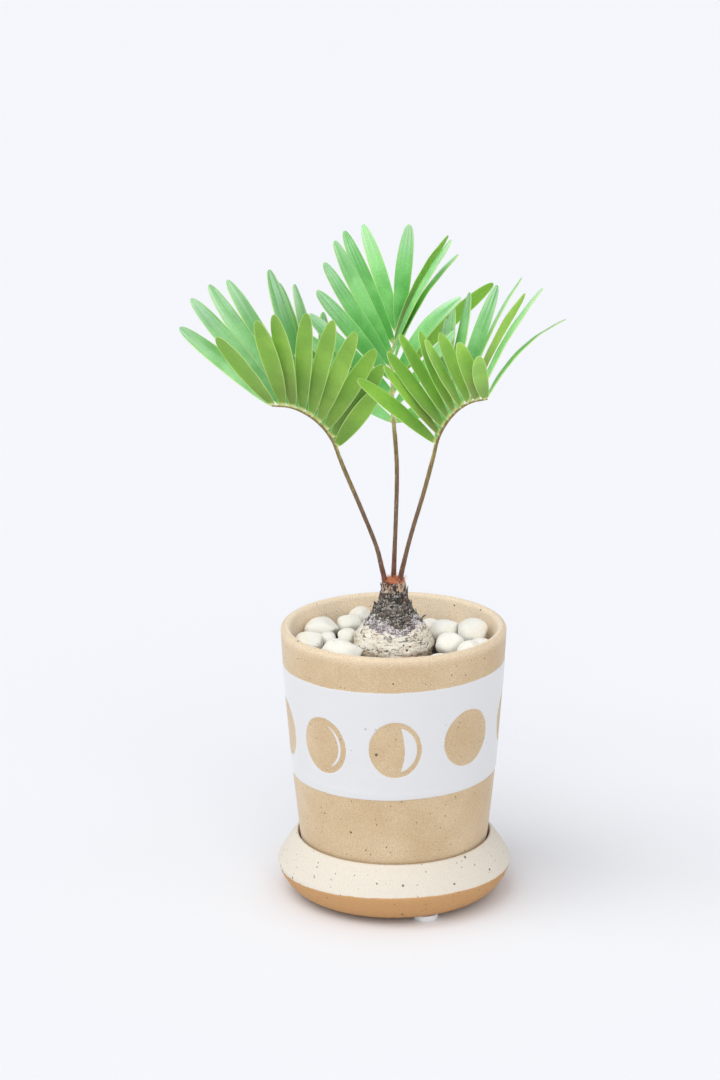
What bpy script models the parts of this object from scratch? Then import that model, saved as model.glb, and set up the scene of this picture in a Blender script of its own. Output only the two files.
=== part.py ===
"""A small cycad in its pot: three feathered fronds on a swollen stem, set in soil under white pebbles.

Lengths are in metres, +Z is up and the three foot pads stand on z = 0. The front of the pot faces -Y.
Everything is placed round the pot's axis first. The stand it hangs from is then moved and lifted so that
the pads' soles lie at z = 0 and the middle of the whole plant's box lies over the origin.
"""

import math

import bmesh
import bpy
import numpy as np
from mathutils import Matrix, Vector, noise

MM = 0.001
GAP = 0.3 * MM
FULL_TURN = 2 * math.pi

# Pot, a tapered cup that swells a little: its radius at a height is a parabola
POT_FOOT = 7.6 * MM
POT_RIM = 136.9 * MM
POT_WALL = 4.6 * MM
POT_FLOOR = 6.0 * MM
POT_FOOT_RADIUS = 44.1 * MM
POT_TAPER = 0.1292
POT_BULGE = 0.32
DRAIN_RADIUS = 5.0 * MM
FOOT_ROUNDING = 2.0 * MM

# Saucer, a ring-shaped dish whose cone-shaped shoulder rises close round the pot
SAUCER_BASE = 2.3 * MM
SAUCER_BASE_RADIUS = 49.0 * MM
SAUCER_BRIM_RADIUS = 58.0 * MM
SAUCER_BRIM = 14.8 * MM
SAUCER_SIDE_POWER = 1.38
SAUCER_SWELL = 0.4 * MM
SAUCER_LIP_RADIUS = 48.4 * MM
SAUCER_LIP = 29.7 * MM
SAUCER_FLOOR = 5.0 * MM
SAUCER_CLEARANCE = 0.9 * MM

# Round bumpers, which carry the saucer 1 mm lower than the heights are measured from
PAD_RADIUS = 6.2 * MM
PAD_SOLE = -1.0 * MM
PAD_THICKNESS = 3.0 * MM
PAD_RING = 44.0 * MM
PAD_FIRST = math.radians(-70.3)
PAD_COUNT = 3

# Soil and the loose stones on it
SOIL_TOP = 121.0 * MM
STONES = (
    # place to the right of and behind the axis, turn in degrees, then length, breadth and height
    (-35.0, 23.5, 0, 23.0, 20.0, 11.5),
    (-21.5, 29.0, 0, 16.5, 14.5, 11.5),
    (-16.2, 42.6, 0, 13.0, 13.0, 11.5),
    (-41.3, 2.5, 0, 17.5, 17.0, 11.0),
    (-24.8, -17.0, -14, 33.0, 19.0, 13.5),
    (-22.9, 9.5, 0, 12.0, 14.5, 10.5),
    (-32.0, 9.5, 0, 11.0, 13.5, 8.5),
    (18.5, 26.0, 0, 13.0, 14.0, 10.0),
    (26.5, 14.5, 0, 19.5, 18.5, 13.5),
    (38.8, 11.5, 0, 20.0, 20.5, 14.5),
    (28.0, -7.5, 0, 17.5, 18.5, 13.5),
    (37.5, -15.5, 0, 16.5, 16.0, 12.0),
    (42.5, -4.0, 0, 13.5, 13.5, 9.5),
    (22.1, -34.0, 0, 18.5, 18.5, 11.0),
    (8.7, -26.6, 0, 13.5, 11.5, 6.5),
    (-4.1, -29.2, 0, 15.0, 14.5, 7.0),
    (5.3, -42.9, 0, 20.0, 13.0, 10.0),
    (-12.6, -41.1, 15, 14.5, 16.5, 10.5),
    (-27.5, -35.1, -40, 14.5, 11.0, 10.5),
    (-43.4, -14.1, 0, 10.5, 14.5, 10.0),
    (30.0, 32.2, -45, 15.0, 13.5, 5.5),
    (15.5, 36.0, 0, 12.5, 11.0, 5.0),
    (8.0, 44.5, 0, 13.5, 9.0, 5.0),
    (-1.7, 33.0, 0, 15.0, 12.0, 7.5),
    (-5.5, 44.8, 0, 13.5, 8.5, 5.0),
)
STONE_ROUNDING = 9
STONE_FACETS = 7
STONE_REACH = 35.0 * MM
STONE_GAP = 0.2 * MM
STONE_WALL_GAP = 1.2 * MM
STONE_STEM_RADIUS = 20.4 * MM

# Swollen stem: radius and height down its side, from the crown to the root tip in the soil
CROWN_TOP = 159.6 * MM
CROWN_RADIUS = 6.6 * MM
STEM_SIDE = (
    (6.6, 157.4),
    (6.8, 153.5),
    (7.9, 148.0),
    (10.2, 143.0),
    (13.8, 138.5),
    (17.6, 133.8),
    (19.7, 128.6),
    (19.4, 121.0),
    (16.6, 109.0),
    (11.0, 97.0),
    (4.5, 88.0),
)
ROOT_TIP = 85.0 * MM
STEM_FOLD = 0.45 * MM
FOLDS_START = 113.0 * MM
FOLDS_PER_METRE = 160.0
SCALE_RINGS = (
    # height, how many, length, share of a step that the ring is turned
    (155.4 * MM, 7, 4.6 * MM, 0.0),
    (151.2 * MM, 7, 5.2 * MM, 0.5),
    (146.4 * MM, 8, 5.4 * MM, 0.2),
    (141.2 * MM, 9, 5.2 * MM, 0.7),
)
SOCKET_DEPTH = 6.5 * MM
SHEATH_RADIUS = 1.25 * MM
SHEATH_LENGTH = 8.0 * MM
SHEATH_TAPER = 14.0 * MM
PETIOLE_RADIUS = 1.1 * MM
RACHIS_END_RADIUS = 0.75 * MM

# Leaflets
LEAFLET_THICKNESS = 0.75 * MM
LEAFLET_EDGE = 0.6 * MM
PULVINUS_WIDTH = 1.5 * MM
LEAFLET_ROOT_POWER = 0.68
LEAFLET_TIP_POWER = 0.46
LEAFLET_STATIONS = (0.0, 0.05, 0.17, 0.36, 0.6, 0.82, 0.95, 1.0)
LEAFLET_FOLD = 0.08
LEAFLET_BOW = 0.05
LEAFLET_ROOT = 0.4 * MM

# Each frond leans out along its heading. Its stalk runs through points given as distance out from the
# pot's axis, height, and drift to the right of the heading. A row of leaflets says on which side it grows
# (1 is right) and how many it has. Its angles, in degrees, are given at the first leaflet, half way and at
# the last: lean is from the stalk, spread is from the upright plane through it, and turn is the blade's
# about its own length. Then come the longest leaflet, how much shorter the end ones are and, for single
# leaflets that grow out of line, what is added to their lean, spread, turn and length. Bent leaflets have
# the way their middle moves to the right, back and up.
FRONDS = {
    "left": dict(
        heading=198.5,
        stalk=((4.0, 157.8, 0), (5.6, 164.5, 0), (8.9, 177.7, 0), (17.0, 198.4, 0), (24.1, 215.4, 0),
               (27.4, 224.0, 0), (30.4, 231.8, 0), (35.8, 239.6, 0), (43.0, 245.9, 0), (51.4, 250.2, 0),
               (60.7, 251.8, 0)),
        first_pair=76.0,
        width=9.4,
        rows=(
            dict(side=-1, count=9, lean=(60, 60, 50), spread=(60, 45, 37), turn=(-12, -18, -15),
                 longest=70, shorter=9,
                 own={0: (-6, -9, 30, -15), 1: (-1, -13, 16, -11), 2: (1, -8, 0, -8), 7: (9, -1, 0, 0),
                      8: (-2, 1, 0, 0)}),
            dict(side=1, count=9, lean=(60, 53, 53), spread=(55, 47, 51), turn=(-20, -22, -22),
                 longest=77, shorter=13,
                 own={2: (-10, -4, 16, 0), 3: (1, 3, 0, 0), 4: (3, -4, 0, 0), 5: (-1, 4, 0, 0),
                      7: (3, -4, 0, 0), 8: (2, 10, 0, 0)}),
        ),
    ),
    "right": dict(
        heading=-26.5,
        stalk=((3.6, 157.8, 0), (4.6, 164.5, 0), (9.6, 183.6, 0), (15.9, 204.0, 0), (21.2, 223.0, 0),
               (23.6, 232.4, 0), (27.7, 240.5, 0), (33.5, 247.5, 0), (40.8, 252.6, 0), (49.4, 255.2, 0)),
        first_pair=76.0,
        width=8.0,
        rows=(
            dict(side=1, count=9, lean=(59, 56, 72), spread=(53, 57, 58), turn=(30, 34, 30),
                 longest=68, shorter=9,
                 own={0: (1, 8, -8, 7), 1: (0, 12, 9, 4), 2: (3, 4, -2, 1), 3: (2, 0, 9, 3), 4: (1, -1, 9, 0),
                      5: (5, 3, 27, 3), 6: (5, -6, 14, -3), 7: (3, -2, -4, 3), 8: (-7, 3, -10, 0)}),
            dict(side=-1, count=9, lean=(47, 59, 61), spread=(51, 49, 60), turn=(25, 15, -25),
                 longest=71, shorter=11,
                 own={0: (-3, 2, 0, 0), 1: (0, -2, 0, -4), 2: (-1, -5, -16, -5), 3: (4, 1, -9, 0),
                      4: (-1, 3, 45, 0), 5: (-9, -3, -30, 0), 6: (5, 1, -65, -2), 7: (4, -11, -15, 0),
                      8: (4, 5, 3, 2)},
                 bent={5: (-1.9, 0, 0.7), 6: (-1.4, 0, 0.6), 7: (-2.1, 0, 1.3), 8: (-3.2, 0, 3.3)}),
        ),
    ),
    "middle": dict(
        heading=90.0,
        stalk=((3.4, 157.8, 0.2), (3.6, 164.5, 0.3), (4.5, 188.3, 1.3), (6.5, 209.0, 1.9), (8.6, 221.0, 1.6),
               (12.0, 235.7, 0.4), (15.0, 242.0, -0.2), (19.0, 249.5, -0.1), (25.0, 258.0, -0.2),
               (33.0, 266.0, 0.0), (43.0, 273.5, 3.0)),
        first_pair=79.0,
        width=9.0,
        rows=(
            dict(side=-1, count=8, lean=(59, 71, 51), spread=(59, 30, 35), turn=(-20, -30, -38),
                 longest=70, shorter=10,
                 own={1: (-1, 0, 24, 0), 6: (-3, 7, 0, 0), 7: (-11, 10, 0, 2)}),
            dict(side=1, count=8, lean=(62, 55, 52), spread=(50, 50, -8), turn=(20, 12, 40),
                 longest=66, shorter=10,
                 own={0: (8, 22, 0, -8), 1: (-1, -16, -18, -6), 2: (1, -22, 0, 0), 3: (-8, 25, -137, 3),
                      4: (-6, -2, -35, -2), 5: (11, -6, -21, 2), 6: (18, 6, -60, 1), 7: (21, 9, 46, 5)},
                 bent={2: (-3.9, 0, 2.8), 3: (-0.7, 0, 1.4), 4: (-3.5, 0, 2.0), 5: (-2.6, 0, 1.3),
                       6: (-2.6, 0, 1.3)}),
        ),
    ),
}

COLOURS = {
    "stoneware": ((0.66, 0.51, 0.31), 0.75),
    "saucer_stoneware": ((0.82, 0.72, 0.55), 0.75),
    "pad": ((0.85, 0.87, 0.88), 0.4),
    "soil": ((0.09, 0.06, 0.04), 0.95),
    "bark": ((0.36, 0.31, 0.25), 0.85),
    "petiole": ((0.20, 0.10, 0.04), 0.55),
    "leaf": ((0.13, 0.42, 0.07), 0.4),
    "pebble": ((0.88, 0.87, 0.82), 0.6),
}


def clear_scene():
    """Remove whatever the scene holds."""
    for thing in list(bpy.data.objects):
        bpy.data.objects.remove(thing, do_unlink=True)


def material_for(name):
    """The named finish, made once: a Principled material with its colour and roughness."""
    found = bpy.data.materials.get(name)
    if found:
        return found
    colour, roughness = COLOURS[name]
    made = bpy.data.materials.new(name)
    made.use_nodes = True
    shader = made.node_tree.nodes["Principled BSDF"]
    shader.inputs["Base Color"].default_value = (*colour, 1.0)
    shader.inputs["Roughness"].default_value = roughness
    shader.inputs["Metallic"].default_value = 0.0
    made.diffuse_color = (*colour, 1.0)
    return made


def place(name, mesh, finish, smooth=True):
    """Put a mesh into the scene as the named piece, hung from the stand."""
    piece = bpy.data.objects.new(name, mesh)
    bpy.context.scene.collection.objects.link(piece)
    mesh.materials.append(material_for(finish))
    if smooth:
        mesh.shade_smooth()
        mesh.set_sharp_from_angle(angle=math.radians(40))
    piece.parent = bpy.data.objects["stand"]
    return piece


def mesh_of(name, bm):
    """Turn a finished bmesh into a mesh whose faces point outwards."""
    bmesh.ops.recalc_face_normals(bm, faces=bm.faces)
    mesh = bpy.data.meshes.new(name)
    bm.to_mesh(mesh)
    bm.free()
    return mesh


def arc(centre, radius, start, end, steps):
    """Points on a circle's arc in the plane of radius and height, angles in degrees."""
    turns = np.radians(np.linspace(start, end, steps + 1))
    return [(centre[0] + radius * math.cos(t), centre[1] + radius * math.sin(t)) for t in turns]


def turned(name, profile, sides):
    """A closed solid of revolution: the closed profile of (radius, height) spun round the axis."""
    bm = bmesh.new()
    ring = [bm.verts.new((radius, 0, height)) for radius, height in profile]
    edges = [bm.edges.new(pair) for pair in zip(ring, ring[1:] + ring[:1])]
    on_axis = [edge for edge in edges if all(v.co.x < 1e-9 for v in edge.verts)]
    bmesh.ops.delete(bm, geom=on_axis, context="EDGES")
    bmesh.ops.spin(
        bm,
        geom=list(bm.verts) + list(bm.edges),
        cent=(0, 0, 0),
        axis=(0, 0, 1),
        angle=FULL_TURN,
        steps=sides,
        use_merge=True,
    )
    bmesh.ops.remove_doubles(bm, verts=bm.verts, dist=1e-6)
    return mesh_of(name, bm)


def pot_radius(height):
    """Outer radius of the pot at a height above the table."""
    rise = height - POT_FOOT
    return POT_FOOT_RADIUS + POT_TAPER * rise - POT_BULGE * rise * rise


def make_pot():
    """The cup: rounded foot, swelling wall, full round lip, flat floor with a drain hole."""
    lip = POT_WALL / 2
    outer_heights = np.linspace(POT_FOOT + FOOT_ROUNDING, POT_RIM - lip, 6)
    inner_heights = np.linspace(POT_RIM - lip, POT_FOOT + POT_FLOOR + POT_WALL, 3)
    inner_floor = POT_FOOT + POT_FLOOR
    corner = pot_radius(inner_heights[-1]) - POT_WALL
    profile = [(DRAIN_RADIUS, POT_FOOT)]
    profile += arc((POT_FOOT_RADIUS - FOOT_ROUNDING, POT_FOOT + FOOT_ROUNDING), FOOT_ROUNDING, -90, -30, 2)
    profile += [(pot_radius(z), z) for z in outer_heights]
    profile += arc((pot_radius(POT_RIM - lip) - lip, POT_RIM - lip), lip, 36, 144, 3)
    profile += [(pot_radius(z) - POT_WALL, z) for z in inner_heights]
    profile += arc((corner - POT_WALL, inner_floor + POT_WALL), POT_WALL, -45, -90, 1)
    profile += [(DRAIN_RADIUS, inner_floor)]
    return place("pot", turned("pot", profile, 36), "stoneware")


def make_saucer():
    """The dish: flat base, rounded side, brim, cone-shaped shoulder up to a lip, well for the pot's foot."""
    well = pot_radius(POT_FOOT) + SAUCER_CLEARANCE
    profile = [(0, SAUCER_BASE), (SAUCER_BASE_RADIUS, SAUCER_BASE)]
    for turn in np.radians((28, 52, 74, 90)):
        out, up = math.sin(turn) ** SAUCER_SIDE_POWER, 1 - abs(math.cos(turn)) ** SAUCER_SIDE_POWER
        profile.append(
            (
                SAUCER_BASE_RADIUS + (SAUCER_BRIM_RADIUS - SAUCER_BASE_RADIUS) * out,
                SAUCER_BASE + (SAUCER_BRIM - SAUCER_BASE) * up,
            )
        )
    foot = np.array((SAUCER_BRIM_RADIUS - 0.7 * MM, SAUCER_BRIM + 1.8 * MM))
    run = np.array((SAUCER_LIP_RADIUS, SAUCER_LIP)) - foot
    for share in (0.0, 0.33, 0.66, 0.94):
        swell = SAUCER_SWELL * math.sin(math.pi * share)
        profile.append(tuple(foot + run * share + swell * np.array((0.83, 0.55))))
    profile.append((SAUCER_LIP_RADIUS - 0.5 * MM, SAUCER_LIP - 0.3 * MM))
    profile.append((pot_radius(SAUCER_LIP) + SAUCER_CLEARANCE, SAUCER_LIP - 1.2 * MM))
    profile.append((well + 0.2 * MM, SAUCER_BASE + SAUCER_FLOOR + 2.0 * MM))
    profile.append((well - 1.0 * MM, SAUCER_BASE + SAUCER_FLOOR))
    profile.append((0, SAUCER_BASE + SAUCER_FLOOR))
    return place("saucer", turned("saucer", profile, 36), "saucer_stoneware")


def make_pads():
    """Three soft discs evenly round the saucer's base, each with a softened rim."""
    for number in range(PAD_COUNT):
        heading = PAD_FIRST + FULL_TURN * number / PAD_COUNT
        soft = 0.4 * MM
        profile = [(0, 0), (PAD_RADIUS - soft, 0), (PAD_RADIUS, soft), (PAD_RADIUS, PAD_THICKNESS)]
        profile.append((0, PAD_THICKNESS))
        mesh = turned("foot_pad", profile, 20)
        pad = place(f"foot_pad_{number + 1}", mesh, "pad")
        pad.location = (PAD_RING * math.cos(heading), PAD_RING * math.sin(heading), PAD_SOLE)


def stem_radius(height):
    """Radius of the swollen stem at a height, read from its side line."""
    heights = [z * MM for _, z in reversed(STEM_SIDE)]
    radii = [r * MM for r, _ in reversed(STEM_SIDE)]
    return float(np.interp(height, [ROOT_TIP] + heights + [CROWN_TOP], [0.0] + radii + [CROWN_RADIUS * 0.9]))


def make_soil():
    """Soil that fills the pot up to a little under the rim, with a well that the swollen stem stands in."""
    floor = POT_FOOT + POT_FLOOR + GAP
    wall_foot = floor + POT_WALL
    profile = [(0, floor), (pot_radius(wall_foot) - 2 * POT_WALL, floor)]
    profile += [(pot_radius(z) - POT_WALL - GAP, z) for z in np.linspace(wall_foot, SOIL_TOP, 4)]
    for z in (SOIL_TOP, 115.0 * MM, 109.0 * MM, 97.0 * MM, 88.0 * MM):
        profile.append((stem_radius(z) + STEM_FOLD + 2 * GAP, z))
    profile.append((0, ROOT_TIP - 3 * GAP))
    return place("soil", turned("soil", profile, 36), "soil")


def stone_centre(number):
    """The middle of a stone that lies on the soil."""
    x, y, _, _, _, height = STONES[number]
    return np.array((x * MM, y * MM, SOIL_TOP + GAP + height * MM / 2))


def stone_reach(number, heading):
    """How far a stone's ball, drawn out to its three sizes, reaches from its middle in a direction."""
    turn = Matrix.Rotation(-math.radians(STONES[number][2]), 3, "Z")
    own = turn @ Vector(heading)
    return 1 / Vector([2 * part / (size * MM) for part, size in zip(own, STONES[number][3:])]).length


def stone_sides(number):
    """A stone's flat sides, each a direction with a distance.

    One faces each neighbour half way between the two, one each the pot's wall, the stem and the soil, and a
    few are its own, spread like the seeds of a sunflower.
    """
    middle = stone_centre(number)
    ring = math.hypot(middle[0], middle[1])
    outward = np.array((middle[0] / ring, middle[1] / ring, 0.0))
    sides = [
        (outward, pot_radius(SOIL_TOP) - POT_WALL - STONE_WALL_GAP - ring),
        (-outward, ring - STONE_STEM_RADIUS),
        (np.array((0.0, 0.0, -1.0)), middle[2] - SOIL_TOP - GAP),
    ]
    for other in range(len(STONES)):
        away = stone_centre(other) - middle
        apart = np.linalg.norm(away)
        if 0 < apart < STONE_REACH:
            mine, theirs = stone_reach(number, away / apart), stone_reach(other, -away / apart)
            sides.append((away / apart, apart * mine / (mine + theirs) - STONE_GAP))
    for facet in range(STONE_FACETS):
        rise = 1 - 2 * (facet + 0.5) / STONE_FACETS
        turn, flat = 2.399963 * facet + 1.7 * number, math.sqrt(1 - rise * rise)
        side = np.array((flat * math.cos(turn), flat * math.sin(turn), rise))
        worn = 0.82 + 0.16 * math.sin(5.1 * facet + 2.3 * number) ** 2
        sides.append((side, stone_reach(number, side) * worn))
    return sides


def stone(number):
    """A worn, angular stone: the ball of its three sizes, held in softly by its flat sides."""
    bm = bmesh.new()
    bmesh.ops.create_uvsphere(bm, u_segments=12, v_segments=7, radius=1.0)
    middle, sides = stone_centre(number), stone_sides(number)
    for vertex in bm.verts:
        ball = np.array(vertex.co.normalized())
        close = stone_reach(number, ball) ** -STONE_ROUNDING
        close += sum((max(ball @ side, 0.0) / distance) ** STONE_ROUNDING for side, distance in sides)
        vertex.co = Vector(middle + ball * close ** (-1 / STONE_ROUNDING))
    name = f"pebble_{number + 1:02d}"
    return place(name, mesh_of(name, bm), "pebble")


def make_stones():
    """Loose white stones on the soil, packed side by side round the stem; at the back they lie flat."""
    for number in range(len(STONES)):
        stone(number)


def spline(points, per_span):
    """A smooth line through the points (Catmull-Rom), with the given number of steps to each span."""
    spots = np.array(points, float)
    spots = np.vstack([2 * spots[0] - spots[1], spots, 2 * spots[-1] - spots[-2]])
    line = []
    for a, b, c, d in zip(spots, spots[1:], spots[2:], spots[3:]):
        squared, cubed = 2 * a - 5 * b + 4 * c - d, 3 * b - a - 3 * c + d
        for t in np.linspace(0, 1, per_span, endpoint=False):
            line.append(0.5 * (2 * b + (c - a) * t + squared * t**2 + cubed * t**3))
    line.append(spots[-2])
    return np.array(line)


def unit(vector):
    """The vector at length one."""
    return vector / np.linalg.norm(vector)


class Stalk:
    """A frond's petiole and rachis as one line, read by the length along it."""

    def __init__(self, frond):
        heading = math.radians(frond["heading"])
        self.outward = np.array((math.cos(heading), math.sin(heading), 0.0))
        self.right = np.array((math.sin(heading), -math.cos(heading), 0.0))
        line = spline(frond["stalk"], 8) * MM
        self.line = line @ np.array((self.outward, (0.0, 0.0, 1.0), self.right))
        steps = np.linalg.norm(np.diff(self.line, axis=0), axis=1)
        self.along = np.concatenate([[0.0], np.cumsum(steps)])
        self.length = self.along[-1]

    def spot(self, along):
        """The point at a length along the stalk."""
        return np.array([np.interp(along, self.along, self.line[:, axis]) for axis in range(3)])

    def heading_at(self, along):
        """The stalk's direction at a length along it."""
        step = 0.5 * MM
        return unit(self.spot(min(along + step, self.length)) - self.spot(max(along - step, 0.0)))

    def radius(self, along):
        """Its radius: a thick sheath at the foot, an even petiole, then a taper to the tip."""
        lengths = (SHEATH_LENGTH, SHEATH_LENGTH + SHEATH_TAPER, 0.6 * self.length, self.length)
        radii = (SHEATH_RADIUS, PETIOLE_RADIUS, PETIOLE_RADIUS, RACHIS_END_RADIUS)
        return float(np.interp(along, lengths, radii))


def tube(bm, stalk, start, end, steps, sides):
    """Add a closed round tube along the stalk between two lengths."""
    rings = []
    for along in np.linspace(start, end, steps + 1):
        ahead = stalk.heading_at(along)
        across = stalk.right
        up = unit(np.cross(across, ahead))
        across = unit(np.cross(ahead, up))
        turns = np.arange(sides) * FULL_TURN / sides
        spokes = np.outer(np.cos(turns), across) + np.outer(np.sin(turns), up)
        rings.append([bm.verts.new(spot) for spot in stalk.spot(along) + stalk.radius(along) * spokes])
    for lower, upper in zip(rings, rings[1:]):
        for a in range(sides):
            b = (a + 1) % sides
            bm.faces.new((lower[a], lower[b], upper[b], upper[a]))
    bm.faces.new(rings[0][::-1])
    bm.faces.new(rings[-1])


def leaflet_width(share, fullest):
    """Width of a leaflet at a share of its length: a narrow root, fullest past the middle, a blunt tip."""
    peak = LEAFLET_ROOT_POWER / (LEAFLET_ROOT_POWER + LEAFLET_TIP_POWER)
    swell = (share / peak) ** LEAFLET_ROOT_POWER * ((1 - share) / (1 - peak)) ** LEAFLET_TIP_POWER
    return PULVINUS_WIDTH * (1 - 0.5 * share) + (fullest - PULVINUS_WIDTH) * swell


def leaflet(root, along, across, length, width, bent):
    """One blade as a closed mesh: along is its direction, across the direction of its width.

    The blade bows a little, its middle is moved by the vector bent, and its halves rise from the midrib.
    """
    upward = unit(np.cross(across, along))
    bm = bmesh.new()
    rings = []
    for share in LEAFLET_STATIONS:
        centre = root + along * length * share
        centre = centre + (upward * LEAFLET_BOW * length - 4 * bent) * share * (share - 1)
        half = leaflet_width(share, width) / 2
        rise = LEAFLET_FOLD * 2 * half
        thick, edge = LEAFLET_THICKNESS / 2, LEAFLET_EDGE / 2
        section = [(-half, rise + edge), (0, thick), (half, rise + edge)]
        section += [(half, rise - edge), (0, -thick), (-half, rise - edge)]
        rings.append([bm.verts.new(centre + across * u + upward * v) for u, v in section])
    for lower, upper in zip(rings, rings[1:]):
        for a, b in ((0, 1), (1, 2), (2, 3), (3, 4), (4, 5), (5, 0)):
            # The upper and the under side are split along the same diagonal
            if a in (0, 1, 2):
                bm.faces.new((lower[a], lower[b], upper[b]))
                bm.faces.new((lower[a], upper[b], upper[a]))
            else:
                bm.faces.new((lower[a], lower[b], upper[a]))
                bm.faces.new((lower[b], upper[b], upper[a]))
    for ring in (rings[0][::-1], rings[-1]):
        bm.faces.new(ring)
    return mesh_of("leaflet", bm)


def bend(values, share):
    """The value at a share of the way on the parabola through the first, the middle and the last value."""
    weights = ((1 - share) * (1 - 2 * share), 4 * share * (1 - share), share * (2 * share - 1))
    return sum(weight * value for weight, value in zip(weights, values))


def row_of_leaflets(stalk, first, width, row):
    """The blades of one side of a frond, evenly along the rachis from the first pair to its tip."""
    blades = []
    for number in range(row["count"]):
        share = number / (row["count"] - 1)
        along = first + (stalk.length - 0.6 * MM - first) * share
        ahead = stalk.heading_at(along)
        side = stalk.right * row["side"]
        above = unit(np.cross(stalk.right, ahead))
        more_lean, more_spread, more_turn, more_length = row["own"].get(number, (0, 0, 0, 0))
        lean = math.radians(bend(row["lean"], share) + more_lean)
        spread = math.radians(bend(row["spread"], share) + more_spread)
        length = (row["longest"] - row["shorter"] * (2 * share - 1) ** 2 + more_length) * MM
        outward = math.cos(spread) * above + math.sin(spread) * side
        direction = math.cos(lean) * ahead + math.sin(lean) * outward
        across = unit(ahead - direction * (ahead @ direction))
        turn = math.radians(bend(row["turn"], share) + more_turn)
        across = Matrix.Rotation(turn, 3, Vector(direction)) @ Vector(across)
        root = stalk.spot(along) + outward * LEAFLET_ROOT
        bent = np.array(row.get("bent", {}).get(number, (0, 0, 0))) * MM
        blades.append(leaflet(root, direction, np.array(across) * row["side"], length, width, bent))
    return blades


def joined(name, meshes):
    """The union of closed meshes as one mesh: an exact Boolean on a collection, applied."""
    helpers = bpy.data.collections.new(name + "_blades")
    bpy.context.scene.collection.children.link(helpers)
    for number, mesh in enumerate(meshes[1:]):
        helpers.objects.link(bpy.data.objects.new(f"{name}_{number}", mesh))
    body = bpy.data.objects.new(name + "_body", meshes[0])
    bpy.context.scene.collection.objects.link(body)
    union = body.modifiers.new("join", "BOOLEAN")
    union.operation = "UNION"
    union.operand_type = "COLLECTION"
    union.collection = helpers
    union.solver = "EXACT"
    union.use_self = True
    graph = bpy.context.evaluated_depsgraph_get()
    mesh = bpy.data.meshes.new_from_object(body.evaluated_get(graph))
    for helper in list(helpers.objects) + [body]:
        bpy.data.objects.remove(helper, do_unlink=True)
    bpy.data.collections.remove(helpers)
    mesh.materials.clear()
    mesh.name = name
    return mesh


def make_frond(name, frond):
    """A petiole that stands in the crown, and above it the rachis with its leaflets fused on."""
    stalk = Stalk(frond)
    first = frond["first_pair"] * MM
    parting = first - 3.5 * MM
    bm = bmesh.new()
    tube(bm, stalk, 0.0, parting, 13, 8)
    place(f"petiole_{name}", mesh_of("petiole", bm), "petiole")
    bm = bmesh.new()
    tube(bm, stalk, parting + GAP, stalk.length, 10, 8)
    meshes = [mesh_of("rachis", bm)]
    for row in frond["rows"]:
        meshes += row_of_leaflets(stalk, first, frond["width"] * MM, row)
    place(f"frond_{name}", joined(f"frond_{name}", meshes), "leaf")
    return stalk


def scale_leaf(height, heading, length):
    """One old leaf base: a flat pointed scale that grows up and out of the neck."""
    bm = bmesh.new()
    bmesh.ops.create_cone(bm, cap_ends=True, segments=5, radius1=1.0, radius2=0.15, depth=1.0)
    bmesh.ops.translate(bm, vec=(0, 0, 0.5), verts=bm.verts)
    bmesh.ops.scale(bm, vec=(1.0 * MM, 2.1 * MM, length), verts=bm.verts)
    bmesh.ops.rotate(bm, cent=(0, 0, 0), matrix=Matrix.Rotation(math.radians(16), 3, "Y"), verts=bm.verts)
    reach = stem_radius(height) - 0.9 * MM
    bmesh.ops.translate(bm, vec=(reach, 0, height - 0.8 * MM), verts=bm.verts)
    bmesh.ops.rotate(bm, cent=(0, 0, 0), matrix=Matrix.Rotation(heading, 3, "Z"), verts=bm.verts)
    return mesh_of("scale", bm)


def make_caudex(stalks):
    """The swollen stem: a folded bulb, a neck set with old leaf bases, and sockets in its crown."""
    profile = [(0, CROWN_TOP), (CROWN_RADIUS * 0.9, CROWN_TOP)]
    profile += [(r * MM, z * MM) for r, z in STEM_SIDE] + [(0, ROOT_TIP)]
    body = turned("caudex", profile[::-1], 20)
    for vertex in body.vertices:
        ring = math.hypot(vertex.co.x, vertex.co.y)
        if ring > CROWN_RADIUS / 2 and FOLDS_START < vertex.co.z < CROWN_TOP - 1 * MM:
            fold = STEM_FOLD * noise.noise(vertex.co * FOLDS_PER_METRE)
            vertex.co.x *= 1 + fold / ring
            vertex.co.y *= 1 + fold / ring
    meshes = [body]
    for height, count, length, turn in SCALE_RINGS:
        for number in range(count):
            meshes.append(scale_leaf(height, FULL_TURN * (number + turn) / count, length))
    caudex = place("caudex", joined("caudex", meshes), "bark")
    for name, stalk in stalks.items():
        foot, ahead = Vector(stalk.spot(0.0)), Vector(stalk.heading_at(0.0))
        bpy.ops.mesh.primitive_cylinder_add(vertices=16, radius=SHEATH_RADIUS + GAP, depth=SOCKET_DEPTH * 2)
        drill = bpy.context.object
        drill.name = f"socket_{name}"
        drill.rotation_mode = "QUATERNION"
        drill.rotation_quaternion = ahead.to_track_quat("Z", "Y")
        drill.location = foot + ahead * (SOCKET_DEPTH - GAP)
        drill.hide_render = True
        drill.display_type = "WIRE"
        drill.parent = bpy.data.objects["stand"]
        cut = caudex.modifiers.new(drill.name, "BOOLEAN")
        cut.operation = "DIFFERENCE"
        cut.object = drill
        cut.solver = "EXACT"


def centre_stand():
    """Move the stand so that all the pieces' box stands on z = 0 with its middle over the origin."""
    bpy.context.view_layer.update()
    pieces = [piece for piece in bpy.data.objects if piece.type == "MESH"]
    spots = np.array([piece.matrix_world @ v.co for piece in pieces for v in piece.data.vertices])
    low, high = spots.min(axis=0), spots.max(axis=0)
    bpy.data.objects["stand"].location = (-(low[0] + high[0]) / 2, -(low[1] + high[1]) / 2, -low[2])


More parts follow.
